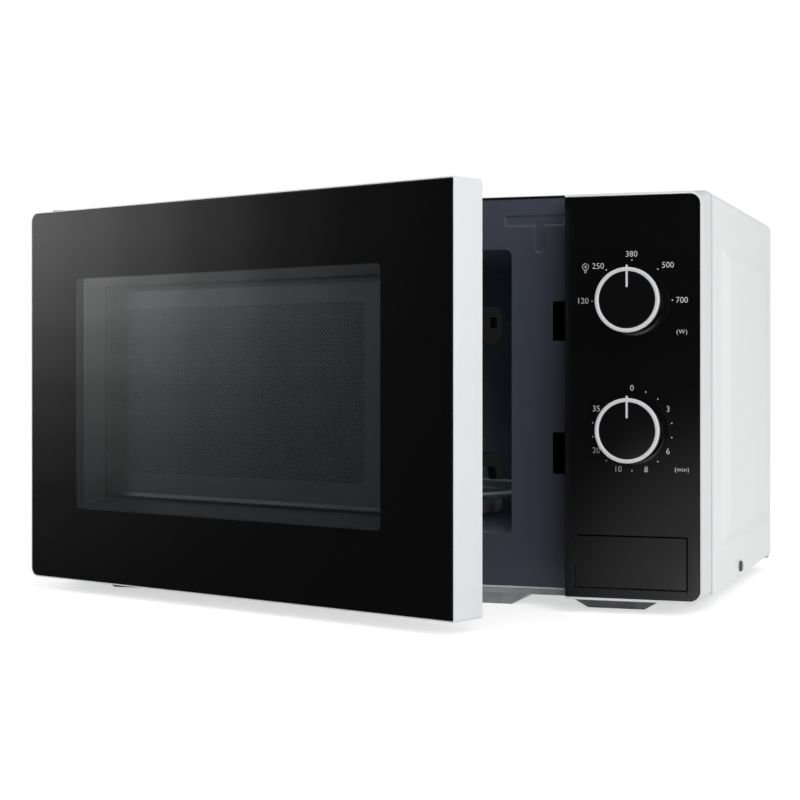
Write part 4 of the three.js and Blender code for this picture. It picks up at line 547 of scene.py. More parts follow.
flare_work = bmesh.new()
flare_work.from_mesh(panel_shell.data)
for depth in FLARE_CUTS:
    bmesh.ops.bisect_plane(
        flare_work,
        geom=flare_work.verts[:] + flare_work.edges[:] + flare_work.faces[:],
        plane_co=place(0, depth, 0),
        plane_no=(0, 1, 0),
    )
for vert in flare_work.verts:
    y = (vert.co.y - PANEL_FACE) / MM
    if y > FLARE_FROM:
        x, z = flared((vert.co.x - CASE_MIDDLE) / MM, y, vert.co.z / MM)
        vert.co = place(x, y, z)
flare_work.to_mesh(panel_shell.data)
flare_work.free()
panel_shell.modifiers.clear()
smooth(panel_shell)
print("moulding flared from", FLARE_FROM, "to", FLARE_TO, "mm")

# %% [markdown]
# ## Springs
# The two springs are fine wire. A swept tube already has the right shape, so they only need
# smooth shading and a bright wire finish. The button's spring gets a mesh of its own; nothing here
# shortens it as the button goes in.

# %% Springs
button_coil = soften("button_spring", plated_steel, 0)
soften("latch_spring", plated_steel, 0)
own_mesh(button_coil)

# %% [markdown]
# ## Outlines and plates
# Many parts are plates: an outline pushed back by a thickness, with a rounded rim. The outline is a
# function of how far it is drawn in, so the same function gives the flat face and each step of the
# rounded edge. Holes are outlines that grow as the plate is drawn in.

# %% Plate tools
CORNER_STEPS = 10
EDGE_STEPS = 3


def rounded_outline(x0, x1, z0, z1, corners, inset=0.0):
    """A rectangle with its own radius at each corner, drawn in by inset; starts low-low."""
    centres = ((x0, z0, 180), (x1, z0, 270), (x1, z1, 0), (x0, z1, 90))
    points = []
    for (cx, cz, turn), radius in zip(centres, corners):
        inner = max(radius - inset, 0.02)
        sx = 1 if cx == x0 else -1
        sz = 1 if cz == z0 else -1
        mx = cx + sx * (inset + inner)
        mz = cz + sz * (inset + inner)
        for step in range(CORNER_STEPS + 1):
            angle = math.radians(turn + 90 * step / CORNER_STEPS)
            points.append((mx + inner * math.cos(angle), mz + inner * math.sin(angle)))
    return points


def round_outline(cx, cz, radius, steps=48):
    return [
        (cx + radius * math.cos(math.tau * i / steps), cz + radius * math.sin(math.tau * i / steps))
        for i in range(steps)
    ]


def fill_loops(work, loops, material_index=0):
    """Fills the area between loops of vertices with triangles."""
    edges = []
    for loop in loops:
        for a, b in zip(loop, loop[1:] + loop[:1]):
            edges.append(work.edges.get((a, b)) or work.edges.new((a, b)))
    for made in bmesh.ops.triangle_fill(work, use_beauty=True, edges=edges)["geom"]:
        if isinstance(made, bmesh.types.BMFace):
            made.material_index = material_index


def bridge(work, low, high, material_index=0):
    """A band of faces between two loops with the same number of vertices."""
    count = len(low)
    for i in range(count):
        j = (i + 1) % count
        face = work.faces.new((low[i], low[j], high[j], high[i]))
        face.material_index = material_index


def closed_mesh(work, name):
    """The mesh of a finished build, with its faces turned outwards."""
    bmesh.ops.recalc_face_normals(work, faces=work.faces)
    mesh = bpy.data.meshes.new(name)
    work.to_mesh(mesh)
    work.free()
    return mesh


def plate_mesh(name, outlines, y0, y1, edge, point=place):
    """A plate from y0 back to y1; outlines(inset) gives its loops, the outer one first."""
    work = bmesh.new()
    angles = [math.radians(90 * step / EDGE_STEPS) for step in range(EDGE_STEPS + 1)]
    rim = [(edge * (1 - math.sin(angle)), edge * (1 - math.cos(angle))) for angle in angles]
    front = sorted((y0 + depth, inset) for depth, inset in rim)
    back = sorted((y1 - depth, inset) for depth, inset in rim)
    rings = [
        [[work.verts.new(point(x, y, z)) for x, z in loop] for loop in outlines(inset)]
        for y, inset in front + back
    ]
    for low, high in zip(rings, rings[1:]):
        for a, b in zip(low, high):
            bridge(work, a, b)
    fill_loops(work, rings[0])
    fill_loops(work, rings[-1])
    return closed_mesh(work, name)


def swing(mesh):
    """Moves a mesh that was drawn with the door shut to the door's resting angle."""
    mesh.transform(DOOR_SWING)
    return mesh


print("plate tools ready")

# %% [markdown]
# ## Cabinet
# The outer wrap is one sheet bent into an upside-down U. Each side is pressed outwards in a
# raised field, which stiffens it. The sheet is laid as a fine grid: a section round the U,
# repeated along the depth, with the pressing added where the grid crosses it. Straight slopes
# with a soft start and finish look like metal that was stretched over a tool. The first half
# millimetre of the sheet has a greyer finish. It stands for the shaded gap behind the panel,
# which is too narrow to show alone.

# %% Cabinet
HALF_WIDTH = 227.5
CASE_TOP = 261.5
SHEET = 0.8
SHELL_BOTTOM = 10.6
SHELL_FRONT = 36.3
GAP_SHADE_DEPTH = 0.45
SHELL_BACK = 308.0
SHELL_CORNER = 6.0
PRESS_RISE = 2.5
PRESS_FRONT = SHELL_FRONT + 33
PRESS_REAR = SHELL_BACK - 18
PRESS_BOTTOM = 36.0
PRESS_TOP = CASE_TOP - 31.5
PRESS_SLOPE_Y = 25.0
PRESS_SLOPE_Z = 10.0


def pressing(y, z):
    """How far the raised field stands out at a point of the side."""
    along = min(y - PRESS_FRONT, PRESS_REAR - y) / PRESS_SLOPE_Y
    up = min(z - PRESS_BOTTOM, PRESS_TOP - z) / PRESS_SLOPE_Z
    t = max(0.0, min(1.0, along, up))
    soft = t * t * (3 - 2 * t)
    return PRESS_RISE * (0.5 * t + 0.5 * soft) if 0 < t < 1 else PRESS_RISE * t


def steps_between(stops, fine, coarse, spans):
    """Positions from the first stop to the last: fine inside the spans, coarse elsewhere."""
    values = [stops[0]]
    for start, end in zip(stops, stops[1:]):
        gap = fine if any(a <= start and end <= b for a, b in spans) else coarse
        count = max(1, round((end - start) / gap))
        values += [start + (end - start) * (i + 1) / count for i in range(count)]
    return values


side_heights = steps_between(
    [SHELL_BOTTOM, PRESS_BOTTOM, PRESS_BOTTOM + PRESS_SLOPE_Z, PRESS_TOP - PRESS_SLOPE_Z,
     PRESS_TOP, CASE_TOP - SHELL_CORNER],
    1.0, 8.0,
    [(PRESS_BOTTOM, PRESS_BOTTOM + PRESS_SLOPE_Z), (PRESS_TOP - PRESS_SLOPE_Z, PRESS_TOP)],
)
section = [(-HALF_WIDTH, z, -1.0, 0.0) for z in side_heights]
for step in range(1, CORNER_STEPS):
    angle = math.radians(180 - 90 * step / CORNER_STEPS)
    section.append((
        -HALF_WIDTH + SHELL_CORNER + SHELL_CORNER * math.cos(angle),
        CASE_TOP - SHELL_CORNER + SHELL_CORNER * math.sin(angle),
        math.cos(angle),
        math.sin(angle),
    ))
TOP_STEPS = 12
for step in range(TOP_STEPS + 1):
    x = (HALF_WIDTH - SHELL_CORNER) * (2 * step / TOP_STEPS - 1)
    section.append((x, CASE_TOP, 0.0, 1.0))
section += [(-x, z, -nx, nz) for x, z, nx, nz in reversed(section[:-TOP_STEPS - 1])]

depths = steps_between(
    [SHELL_FRONT + 0.5, PRESS_FRONT, PRESS_FRONT + PRESS_SLOPE_Y, PRESS_REAR - PRESS_SLOPE_Y,
     PRESS_REAR, SHELL_BACK],
    1.6, 14.0,
    [(PRESS_FRONT, PRESS_FRONT + PRESS_SLOPE_Y), (PRESS_REAR - PRESS_SLOPE_Y, PRESS_REAR)],
)
FRONT_ROLL = [(SHELL_FRONT, 0.35), (SHELL_FRONT + 0.2, 0.12)]
rows = FRONT_ROLL + [(y, 0.0) for y in depths]


def shell_skin(work, drop):
    """One skin of the sheet, drop millimetres in from its outside."""
    grid = []
    for y, roll in rows:
        ring = []
        for x, z, nx, nz in section:
            out = pressing(y, z) if abs(nx) == 1 else 0.0
            rolled = min(drop + roll, SHEET - 0.1) if drop < SHEET / 2 else drop
            ring.append(work.verts.new(place(x + nx * (out - rolled), y, z - nz * rolled)))
        grid.append(ring)
    return grid


shell_work = bmesh.new()
outside = shell_skin(shell_work, 0.0)
inside = shell_skin(shell_work, SHEET)
for grid in (outside, inside):
    for low, high in zip(grid, grid[1:]):
        for i in range(len(section) - 1):
            shell_work.faces.new((low[i], low[i + 1], high[i + 1], high[i]))
for row in (0, -1):
    for i in range(len(section) - 1):
        shell_work.faces.new(
            (outside[row][i], outside[row][i + 1], inside[row][i + 1], inside[row][i]))
for column in (0, -1):
    for i in range(len(rows) - 1):
        shell_work.faces.new(
            (outside[i][column], outside[i + 1][column], inside[i + 1][column], inside[i][column]))
shell_mesh = closed_mesh(shell_work, "cabinet_shell")
cabinet_shell = make_piece("cabinet_shell", shell_mesh, "case", powder_coat, gap_shade_grey)
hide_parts("cabinet")
# The faces of the first half millimetre take the grey of painted shade.
gap_shade_end = place(0, SHELL_FRONT + GAP_SHADE_DEPTH, 0)[1]
for polygon in cabinet_shell.data.polygons:
    if polygon.center.y < gap_shade_end:
        polygon.material_index = 1
print("cabinet of", len(section), "by", len(rows), "points")

# %% [markdown]
# ## Air outlets
# Warm air leaves through two rows of upright slots near the back of the hinge side. The punch that
# makes them has round ends. The cutters are joined into one mesh and taken out of the sheet.

# %% Air outlets
VENT_COLUMNS = 8
VENT_ROWS = 2
VENT_WIDTH = 3.0
VENT_LENGTH = 22.0
VENT_PITCH = 7.0
VENT_REARMOST = PRESS_REAR - PRESS_SLOPE_Y - 2 * VENT_WIDTH
VENT_LOWEST = PRESS_BOTTOM + 2 * PRESS_SLOPE_Z


def cut_away(piece, cutter):
    """Takes a closed cutter out of a piece for good."""
    removal = piece.modifiers.new("cut", "BOOLEAN")
    removal.operation = "DIFFERENCE"
    removal.solver = "EXACT"
    removal.object = cutter
    bpy.context.view_layer.update()
    graph = bpy.context.evaluated_depsgraph_get()
    finished = bpy.data.meshes.new_from_object(piece.evaluated_get(graph), depsgraph=graph)
    piece.modifiers.clear()
    piece.data = finished
    bpy.data.objects.remove(cutter)
    return piece


def punch(work, y, z, length, width, x0, x1):
    """One round-ended upright slot cutter through a side."""
    half = width / 2
    ends = []
    for step in range(9):
        angle = math.pi * step / 8
        ends.append((y + half * math.cos(angle), z + length / 2 - half + half * math.sin(angle)))
    for step in range(9):
        angle = math.pi + math.pi * step / 8
        ends.append((y + half * math.cos(angle), z - length / 2 + half + half * math.sin(angle)))
    near = [work.verts.new(place(x0, a, b)) for a, b in ends]
    far = [work.verts.new(place(x1, a, b)) for a, b in ends]
    work.faces.new(near)
    work.faces.new(far[::-1])
    bridge(work, near, far)


punch_work = bmesh.new()
for column in range(VENT_COLUMNS):
    for row in range(VENT_ROWS):
        punch(
            punch_work,
            VENT_REARMOST - column * VENT_PITCH - VENT_WIDTH / 2,
            VENT_LOWEST + row * (VENT_LENGTH + VENT_PITCH) + VENT_LENGTH / 2,
            VENT_LENGTH,
            VENT_WIDTH,
            -HALF_WIDTH - 2 * PRESS_RISE,
            -HALF_WIDTH + 2 * PRESS_RISE,
        )
punch_mesh = closed_mesh(punch_work, "punches")
punches = bpy.data.objects.new("punches", punch_mesh)
bpy.context.scene.collection.objects.link(punches)
cut_away(cabinet_shell, punches)
smooth(cabinet_shell)
print("cabinet has", VENT_COLUMNS * VENT_ROWS, "slots in its hinge side")

# %% [markdown]
# ## Fascia
# The control panel's face is a thin polished black plate, let into the white moulding. It has an
# opening for the release button with a narrow shadow gap, and two holes for the dial shafts.

# %% Fascia
PANEL_LEFT = 142.6
RIM = 1.8
FASCIA_BOTTOM = 9.0 + RIM
FASCIA_TOP = 257.8 - RIM
FASCIA_RIGHT = HALF_WIDTH - RIM
FASCIA_CORNER = 7.8 - RIM
FASCIA_THICK = 2.5
BUTTON = (149.5, 217.8, 16.9, 48.3)
BUTTON_GAP = 0.7
DIAL_X = 184.5
POWER_Z = 192.1
TIMER_Z = 113.4
SHAFT_HOLE = 4.0


def fascia_outline(inset):
    x0, x1, z0, z1 = BUTTON
    return [
        rounded_outline(
            PANEL_LEFT, FASCIA_RIGHT, FASCIA_BOTTOM, FASCIA_TOP,
            (0.4, FASCIA_CORNER, FASCIA_CORNER, 0.4), inset),
        rounded_outline(x0, x1, z0, z1, (0.3, 0.3, 0.3, 0.3), -BUTTON_GAP - inset),
        round_outline(DIAL_X, POWER_Z, SHAFT_HOLE + inset),
        round_outline(DIAL_X, TIMER_Z, SHAFT_HOLE + inset),
    ]


fascia = make_piece(
    "fascia_plate", plate_mesh("fascia_plate", fascia_outline, 0.0, FASCIA_THICK, 0.1), "case",
    black_acrylic)
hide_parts("fascia")
smooth(fascia)
MATT_FROM = 0.7
for shiny in (fascia, button):
    shiny.data.materials.append(matt_edge_and_groove_shade)
    for polygon in shiny.data.polygons:
        if abs(polygon.normal.y) < MATT_FROM:
            polygon.material_index = len(shiny.data.materials) - 1
print("fascia of", round(FASCIA_RIGHT - PANEL_LEFT, 1), "by", round(FASCIA_TOP - FASCIA_BOTTOM, 1))

# %% [markdown]
# ## Knobs
# A knob is turned in the mind, if not on a lathe: its side view is spun about the shaft. The black
# drum is polished and ends in a small skirt. The silver ring sits on its rim with a rounded crown
# that catches light. The pointer bar runs in from the crown and stands a little past it.

# %% Turned parts
TURN_STEPS = 96


def spun_mesh(name, profile, steps, point):
    """A profile of (radius, along) spun full circle; point(radius, along, angle) places it."""
    work = bmesh.new()
    rings = []
    for radius, along in profile:
        count = steps if radius else 1
        rings.append([
            work.verts.new(point(radius, along, math.tau * i / steps)) for i in range(count)])
    for low, high in zip(rings, rings[1:]):
        for i in range(steps):
            j = (i + 1) % steps
            corners = (
                low[i % len(low)], low[j % len(low)], high[j % len(high)], high[i % len(high)])
            unique = list(dict.fromkeys(corners))
            if len(unique) > 2:
                work.faces.new(unique)
    return closed_mesh(work, name)


def turned_mesh(name, profile, x, z):
    """A profile of (radius, depth) spun about a level axis that points out of the panel."""
    def around(radius, y, angle):
        return place(x + radius * math.cos(angle), y, z + radius * math.sin(angle))

    return spun_mesh(name, profile, TURN_STEPS, around)


KNOB_FRONT = -16.0
RING_RADIUS = 19.65
RING_WIDTH = 2.4
RING_DEPTH = 3.0
CAP_FACE = -15.2
SHAFT_BORE = 3.15
BORE_END = -12.0
drum_profile = [
    (0, CAP_FACE),
    (16.4, CAP_FACE),
    (16.9, CAP_FACE + 0.1),
    (17.2, CAP_FACE + 0.4),
    (17.2, KNOB_FRONT + RING_DEPTH + 0.05),
    (19.55, KNOB_FRONT + RING_DEPTH + 0.05),
    (19.8, KNOB_FRONT + RING_DEPTH + 0.12),
    (19.9, KNOB_FRONT + RING_DEPTH + 0.3),
    (19.9, -1.7),
    (21.3, -1.55),
    (21.48, -1.5),
    (21.55, -1.35),
    (21.55, -0.6),
    (SHAFT_BORE, -0.6),
    (SHAFT_BORE, BORE_END),
    (0, BORE_END),
]
CROWN_RISE = 0.45
crown = []
for step in range(9):
    angle = math.pi * step / 8
    crown.append((
        RING_RADIUS - RING_WIDTH / 2 - RING_WIDTH / 2 * math.cos(angle),
        KNOB_FRONT + CROWN_RISE * (1 - math.sin(angle)),
    ))
inner_radius = RING_RADIUS - RING_WIDTH
ring_profile = [(inner_radius, KNOB_FRONT + RING_DEPTH), *crown,
                (RING_RADIUS, KNOB_FRONT + RING_DEPTH), (inner_radius, KNOB_FRONT + RING_DEPTH)]
for dial, z in (("power", POWER_Z), ("timer", TIMER_Z)):
    drum = make_piece(
        dial + "_knob_drum", turned_mesh("drum", drum_profile, DIAL_X, z), dial + "_dial", knob_abs)
    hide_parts(dial + "_knob")
    smooth(drum)
    ring = make_piece(
        dial + "_trim_ring", turned_mesh("ring", ring_profile, DIAL_X, z), dial + "_dial",
        silver_coat)
    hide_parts(dial + "_knob_ring")
    smooth(ring)
print("rings of", 2 * RING_RADIUS, "mm")

# %% [markdown]
# The pointer is a thin bar with rounded edges, the same plate as the fascia at a smaller size.

# %% Pointers
POINTER_HALF = 0.6
POINTER_IN = 7.5
POINTER_OUT = 21.0
for dial, z in (("power", POWER_Z), ("timer", TIMER_Z)):
    def pointer_outline(inset, z=z):
        return [rounded_outline(
            DIAL_X - POINTER_HALF, DIAL_X + POINTER_HALF, z + POINTER_IN, z + POINTER_OUT,
            (0.5, 0.5, 0.5, 0.5), inset)]

    pointer = make_piece(
        dial + "_pointer",
        plate_mesh("pointer", pointer_outline, KNOB_FRONT, KNOB_FRONT + 1.1, 0.15),
        dial + "_dial", silver_coat)
    smooth(pointer)
print("pointer of", POINTER_OUT - POINTER_IN, "mm")

# %% [markdown]
# ## Printing on the fascia
# The scales are pad printed in white: levels in watts round the upper dial, minutes round the lower
# one, and a dot at each step. Text becomes a mesh a few hundredths of a millimetre thick, which is
# what a layer of ink is. The numbers are generic, and nothing else is printed.

# %% Printing
INK = 0.04
INK_CLEAR = 0.01
FONT_MM = 5.1
UNIT_FONT_MM = 3.8
UNIT_SPREAD = 1.12
THINNER = 0.05


def print_text(name, words, x, z, size, thinner=THINNER, spread=1.0):
    """Printed words centred on a point of the fascia."""
    letters = bpy.data.curves.new(name, "FONT")
    letters.body = words
    letters.size = size * MM
    letters.align_x = "CENTER"
    letters.align_y = "CENTER"
    letters.extrude = INK * MM / 2
    letters.offset = -thinner * MM
    letters.space_character = spread
    letters.resolution_u = 4
    proxy = bpy.data.objects.new(name + "_curve", letters)
    bpy.context.scene.collection.objects.link(proxy)
    proxy.rotation_euler = (math.radians(90), 0, 0)
    proxy.location = place(x, -INK / 2 - INK_CLEAR, z)
    bpy.context.view_layer.update()
    graph = bpy.context.evaluated_depsgraph_get()
    mesh = bpy.data.meshes.new_from_object(proxy.evaluated_get(graph), depsgraph=graph)
    mesh.transform(proxy.matrix_world)
    bpy.data.objects.remove(proxy)
    return mesh


def ink_mark(name, outline):
    """A flat mark of ink on the fascia."""
    work = bmesh.new()
    near = [work.verts.new(place(a, -INK - INK_CLEAR, b)) for a, b in outline]
    far = [work.verts.new(place(a, -INK_CLEAR, b)) for a, b in outline]
    work.faces.new(near)
    work.faces.new(far[::-1])
    bridge(work, near, far)
    return closed_mesh(work, name)


def print_dot(x, z, radius):
    return ink_mark("dot", round_outline(x, z, radius, 16))


def join_meshes(name, meshes):
    work = bmesh.new()
    for mesh in meshes:
        work.from_mesh(mesh)
    joined = bpy.data.meshes.new(name)
    work.to_mesh(joined)
    work.free()
    return joined


def print_bar(x0, z0, x1, z1, width):
    """A printed stroke between two points."""
    length = math.hypot(x1 - x0, z1 - z0)
    side_x = -(z1 - z0) / length * width / 2
    side_z = (x1 - x0) / length * width / 2
    return ink_mark("bar", (
        (x0 + side_x, z0 + side_z), (x1 + side_x, z1 + side_z),
        (x1 - side_x, z1 - side_z), (x0 - side_x, z0 - side_z)))


def defrost_mark(x, z):
    """The common sign for thawing: a frost star in a six-sided frame over a drop."""
    marks = []
    corners = [
        (x + 2.1 * math.sin(math.radians(60 * i)), z + 2.1 * math.cos(math.radians(60 * i)))
        for i in range(7)
    ]
    for (xa, za), (xb, zb) in zip(corners, corners[1:]):
        marks.append(print_bar(xa, za, xb, zb, 0.26))
    for i in range(3):
        dx = 0.85 * math.sin(math.radians(60 * i))
        dz = 0.85 * math.cos(math.radians(60 * i))
        marks.append(print_bar(x - dx, z - dz, x + dx, z + dz, 0.24))
    drop = [
        (x + 0.75 * math.sin(math.radians(45 * i)), z - 2.9 + 0.75 * math.cos(math.radians(45 * i)))
        for i in range(9)
    ]
    for (xa, za), (xb, zb) in zip(drop, drop[1:]):
        marks.append(print_bar(xa, za, xb, zb, 0.24))
    return marks


POWER_WORDS = [
    ("120", 153.9, 192.2), ("250", 163.5, 213.4), ("380", 184.2, 220.4), ("500", 206.5, 213.3),
    ("700", 215.0, 192.0),
]
TIMER_RADIUS = 25.5
TIMER_WORDS = [("0", 0), ("3", 60), ("6", 120), ("8", 160), ("10", 200), ("20", 240), ("35", 300)]
TIMER_DOTS = (20, 40, 80, 100, 140, 180, 220, 260, 280)
POWER_DOTS = (-90, -40, 0, 40, 90)
DOT_ORBIT = 24.7
DOT_RADIUS = 0.42


def dial_point(z, degrees, orbit):
    angle = math.radians(degrees)
    return DIAL_X + orbit * math.sin(angle), z + orbit * math.cos(angle)


power_ink = [print_text("level", w, x, z, FONT_MM) for w, x, z in POWER_WORDS]
power_ink += defrost_mark(155.6, 213.2)
power_ink.append(print_text("watts", "(W)", 215.0, 172.9, UNIT_FONT_MM, 0.03, UNIT_SPREAD))
power_ink += [print_dot(*dial_point(POWER_Z, a, DOT_ORBIT), DOT_RADIUS) for a in POWER_DOTS]
timer_ink = [
    print_text("minute", w, *dial_point(TIMER_Z, a, TIMER_RADIUS), FONT_MM) for w, a in TIMER_WORDS]
timer_ink.append(print_text("minutes", "(min)", 215.0, 89.8, UNIT_FONT_MM, 0.03, UNIT_SPREAD))
timer_ink += [print_dot(*dial_point(TIMER_Z, a, DOT_ORBIT), DOT_RADIUS) for a in TIMER_DOTS]
for dial, ink in (("power", power_ink), ("timer", timer_ink)):
    scale_mesh = join_meshes(dial + "_scale", ink)
    make_piece(dial + "_scale_ink", scale_mesh, "case", white_print)
print("printed", len(power_ink) + len(timer_ink), "marks")

# %% [markdown]
# ## Door glass
# The front of the door is one pane with a fired black print that leaves the window clear. Where
# the print is, the pane works as polished black: only its front face mirrors the room. In the
# window both faces mirror it. The pane is one mesh with two finishes. The print ends at the
# window's outline on the front face and a little further out on the back, so that its edge is
# seen only once.

# %% Door glass
DOOR = (-227.5, 141.6, 9.0, 257.8)
GLASS_RIM = 1.1
GLASS_THICK = 3.2
HINGE_CORNER = 6.0 - GLASS_RIM
FREE_CORNER = 0.5
WINDOW = (-180.1, 87.9, 57.5, 211.4)
WINDOW_CORNER = 2.5
GLASS_EDGE = 0.4
BACK_CLEAR = 9.0


def glass_outline(inset):
    x0, x1, z0, z1 = DOOR
    corners = (HINGE_CORNER, FREE_CORNER, FREE_CORNER, HINGE_CORNER)
    return rounded_outline(
        x0 + GLASS_RIM, x1 - GLASS_RIM, z0 + GLASS_RIM, z1 - GLASS_RIM, corners, inset)


def window_outline(inset):
    corner = (WINDOW_CORNER,) * 4
    return rounded_outline(*WINDOW, corner, inset)


def pane_mesh():
    work = bmesh.new()
    levels = [(0.0, GLASS_EDGE), (0.12, 0.12), (GLASS_EDGE, 0.0),
              (GLASS_THICK - GLASS_EDGE, 0.0), (GLASS_THICK, GLASS_EDGE)]
    rings = [[work.verts.new(place(x, y, z)) for x, z in glass_outline(i)] for y, i in levels]
    for low, high in zip(rings, rings[1:]):
        bridge(work, low, high, 1)
    for ring, depth, wider in ((rings[0], 0.0, 0.0), (rings[-1], GLASS_THICK, -BACK_CLEAR)):
        clear = [work.verts.new(place(x, depth, z)) for x, z in window_outline(wider)]
        fill_loops(work, [ring, clear], 1)
        fill_loops(work, [clear], 0)
    return closed_mesh(work, "door_pane")


door_pane = make_piece("door_pane", swing(pane_mesh()), "door", float_glass, glass_print)
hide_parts("door_glass")
smooth(door_pane)
print("pane with", len(door_pane.data.polygons), "faces")

# %% [markdown]
# ## Door moulding and window surround
# A white moulding holds the pane and forms the door's edges. Behind the window sits a dark liner
# that narrows towards the screen, so the eye reads a deep frame. It has a flat rim behind the
# pane and stops in a fine groove where the screen's sheet begins.

# %% Door moulding
soften("door_frame", white_abs, 0.35, clamp=False)

LINER_FRONT = GLASS_THICK + 0.1
LINER_RIM = 10.0
LINER_BACK = 22.45
LINER_TAPER = {"hinge": 3.8, "free": 3.8, "top": 4.6, "bottom": 6.4}
LINER_START = 0.3
RIM_FACING = 0.9
TOP_RUN_FACING = -0.7


def liner_loop(share, grow=0.0):
    """The liner's inner loop: share 0 at the glass, 1 at the screen."""
    x0, x1, z0, z1 = WINDOW
    return rounded_outline(
        x0 + LINER_START + LINER_TAPER["hinge"] * share - grow,
        x1 - LINER_START - LINER_TAPER["free"] * share + grow,
        z0 + LINER_START + LINER_TAPER["bottom"] * share - grow,
        z1 - LINER_START - LINER_TAPER["top"] * share + grow,
        (WINDOW_CORNER,) * 4,
    )


liner_work = bmesh.new()
liner_rings = []
for share in (0.0, 0.03, 0.5, 0.97, 1.0):
    y = LINER_FRONT + (LINER_BACK - LINER_FRONT) * share
    ease = 0.35 if share in (0.0, 1.0) else 0.0
    liner_rings.append([
        liner_work.verts.new(place(x, y, z)) for x, z in liner_loop(share, ease)])
for y, rim in ((LINER_BACK, 0.05), (LINER_FRONT + 0.3, 0.05), (LINER_FRONT + 0.3, -LINER_RIM),
               (LINER_FRONT, -LINER_RIM)):
    liner_rings.append([
        liner_work.verts.new(place(x, y, z)) for x, z in window_outline(rim)])
for low, high in zip(liner_rings, liner_rings[1:] + liner_rings[:1]):
    bridge(liner_work, low, high)
liner_mesh = closed_mesh(liner_work, "window_liner")
window_liner = make_piece("window_liner", swing(liner_mesh), "door", liner_abs, liner_lit_copy)
smooth(window_liner)
# The rim faces and the top run take the lighter copy, which is painted light.
for polygon in window_liner.data.polygons:
    if abs(polygon.normal.y) > RIM_FACING or polygon.normal.z < TOP_RUN_FACING:
        polygon.material_index = 1
print("liner narrows by", LINER_TAPER)

# %% [markdown]
# ## Window screen
# The screen stops microwaves and still lets the eye through: a painted steel sheet with thousands
# of small holes in staggered rows. The holes are real geometry. Each hole is an eight-sided ring
# in a diamond tile, and the tiles meet corner to corner. A real screen has holes of about 1.2 mm,
# which is kept.

# %% Window screen
HOLE_PITCH = 1.95
HOLE_RADIUS = 0.62
SCREEN_DEPTH = 22.55
FIELD = (-173.5, 57.0, 81.3, 192.5)
BORDER = (-178.0, 85.8, 60.2, 209.0)


def screen_mesh():
    """The perforated field and its plain border in one sheet."""
    half = HOLE_PITCH / math.sqrt(2)
    x0, x1, z0, z1 = FIELD
    columns = int((x1 - x0) / half)
    rows_up = int((z1 - z0) / half)
    verts = []
    faces = []
    corner_index = {}

    def corner(i, j):
        if (i, j) not in corner_index:
            corner_index[i, j] = len(verts)
            verts.append(place(x0 + i * half, SCREEN_DEPTH, z0 + j * half))
        return corner_index[i, j]

    for i in range(1, columns):
        for j in range(1, rows_up):
            if (i + j) % 2:
                continue
            ring = [corner(i + 1, j), corner(i, j + 1), corner(i - 1, j), corner(i, j - 1)]
            start = len(verts)
            for k in range(8):
                angle = math.tau * k / 8
                verts.append(place(
                    x0 + i * half + HOLE_RADIUS * math.cos(angle),
                    SCREEN_DEPTH,
                    z0 + j * half + HOLE_RADIUS * math.sin(angle)))
            for k in range(4):
                a = start + 2 * k
                b = start + 2 * k + 1
                c = start + (2 * k + 2) % 8
                faces.append((ring[k], ring[(k + 1) % 4], b))
                faces.append((ring[k], b, a))
                faces.append((ring[(k + 1) % 4], c, b))
    return verts, faces, (x0, x0 + columns * half, z0, z0 + rows_up * half), half, columns, rows_up


screen_verts, screen_faces, field, half_pitch, field_columns, field_rows = screen_mesh()
print("screen with", len(screen_faces), "triangles in", field_columns, "by", field_rows)

# %% [markdown]
# The border fills what is left between the field's zigzag edge and the liner. Four strips and the
# small triangles along the zigzag close the sheet without a gap.

# %% Screen border
def border_faces(verts, faces):
    fx0, fx1, fz0, fz1 = field
    bx0, bx1, bz0, bz1 = BORDER

    def quad(xa, xb, za, zb):
        start = len(verts)
        for x, z in ((xa, za), (xb, za), (xb, zb), (xa, zb)):
            verts.append(place(x, SCREEN_DEPTH, z))
        faces.append((start, start + 1, start + 2, start + 3))

    def triangle(points):
        start = len(verts)
        for x, z in points:
            verts.append(place(x, SCREEN_DEPTH, z))
        faces.append((start, start + 1, start + 2))

    quad(bx0, bx1, bz0, fz0)
    quad(bx0, bx1, fz1, bz1)
    quad(bx0, fx0, fz0, fz1)
    quad(fx1, bx1, fz0, fz1)
    h = half_pitch
    for i in range(field_columns + 1):
        x = fx0 + i * h
        for edge_row, sign, z in ((0, 1, fz0), (field_rows, -1, fz1)):
            # a tile whose middle would lie on the edge is left out, and its half is filled
            if (i + edge_row) % 2 == 0:
                left = max(x - h, fx0)
                right = min(x + h, fx1)
                triangle(((left, z), (right, z), (x, z + sign * h)))
    for j in range(field_rows + 1):
        z = fz0 + j * h
        for edge_column, sign, x in ((0, 1, fx0), (field_columns, -1, fx1)):
            if (j + edge_column) % 2 == 0:
                low = max(z - h, fz0)
                high = min(z + h, fz1)
                triangle(((x, low), (x, high), (x + sign * h, z)))


border_faces(screen_verts, screen_faces)
sheet_mesh = bpy.data.meshes.new("screen_sheet")
sheet_mesh.from_pydata([tuple(v) for v in screen_verts], [], screen_faces)
sheet_work = bmesh.new()
sheet_work.from_mesh(sheet_mesh)
bmesh.ops.remove_doubles(sheet_work, verts=sheet_work.verts, dist=0.001 * MM)
bmesh.ops.recalc_face_normals(sheet_work, faces=sheet_work.faces)
sheet_work.to_mesh(sheet_mesh)
sheet_work.free()
make_piece("screen_sheet", swing(sheet_mesh), "door", screen_coat)
print("screen sheet", BORDER)
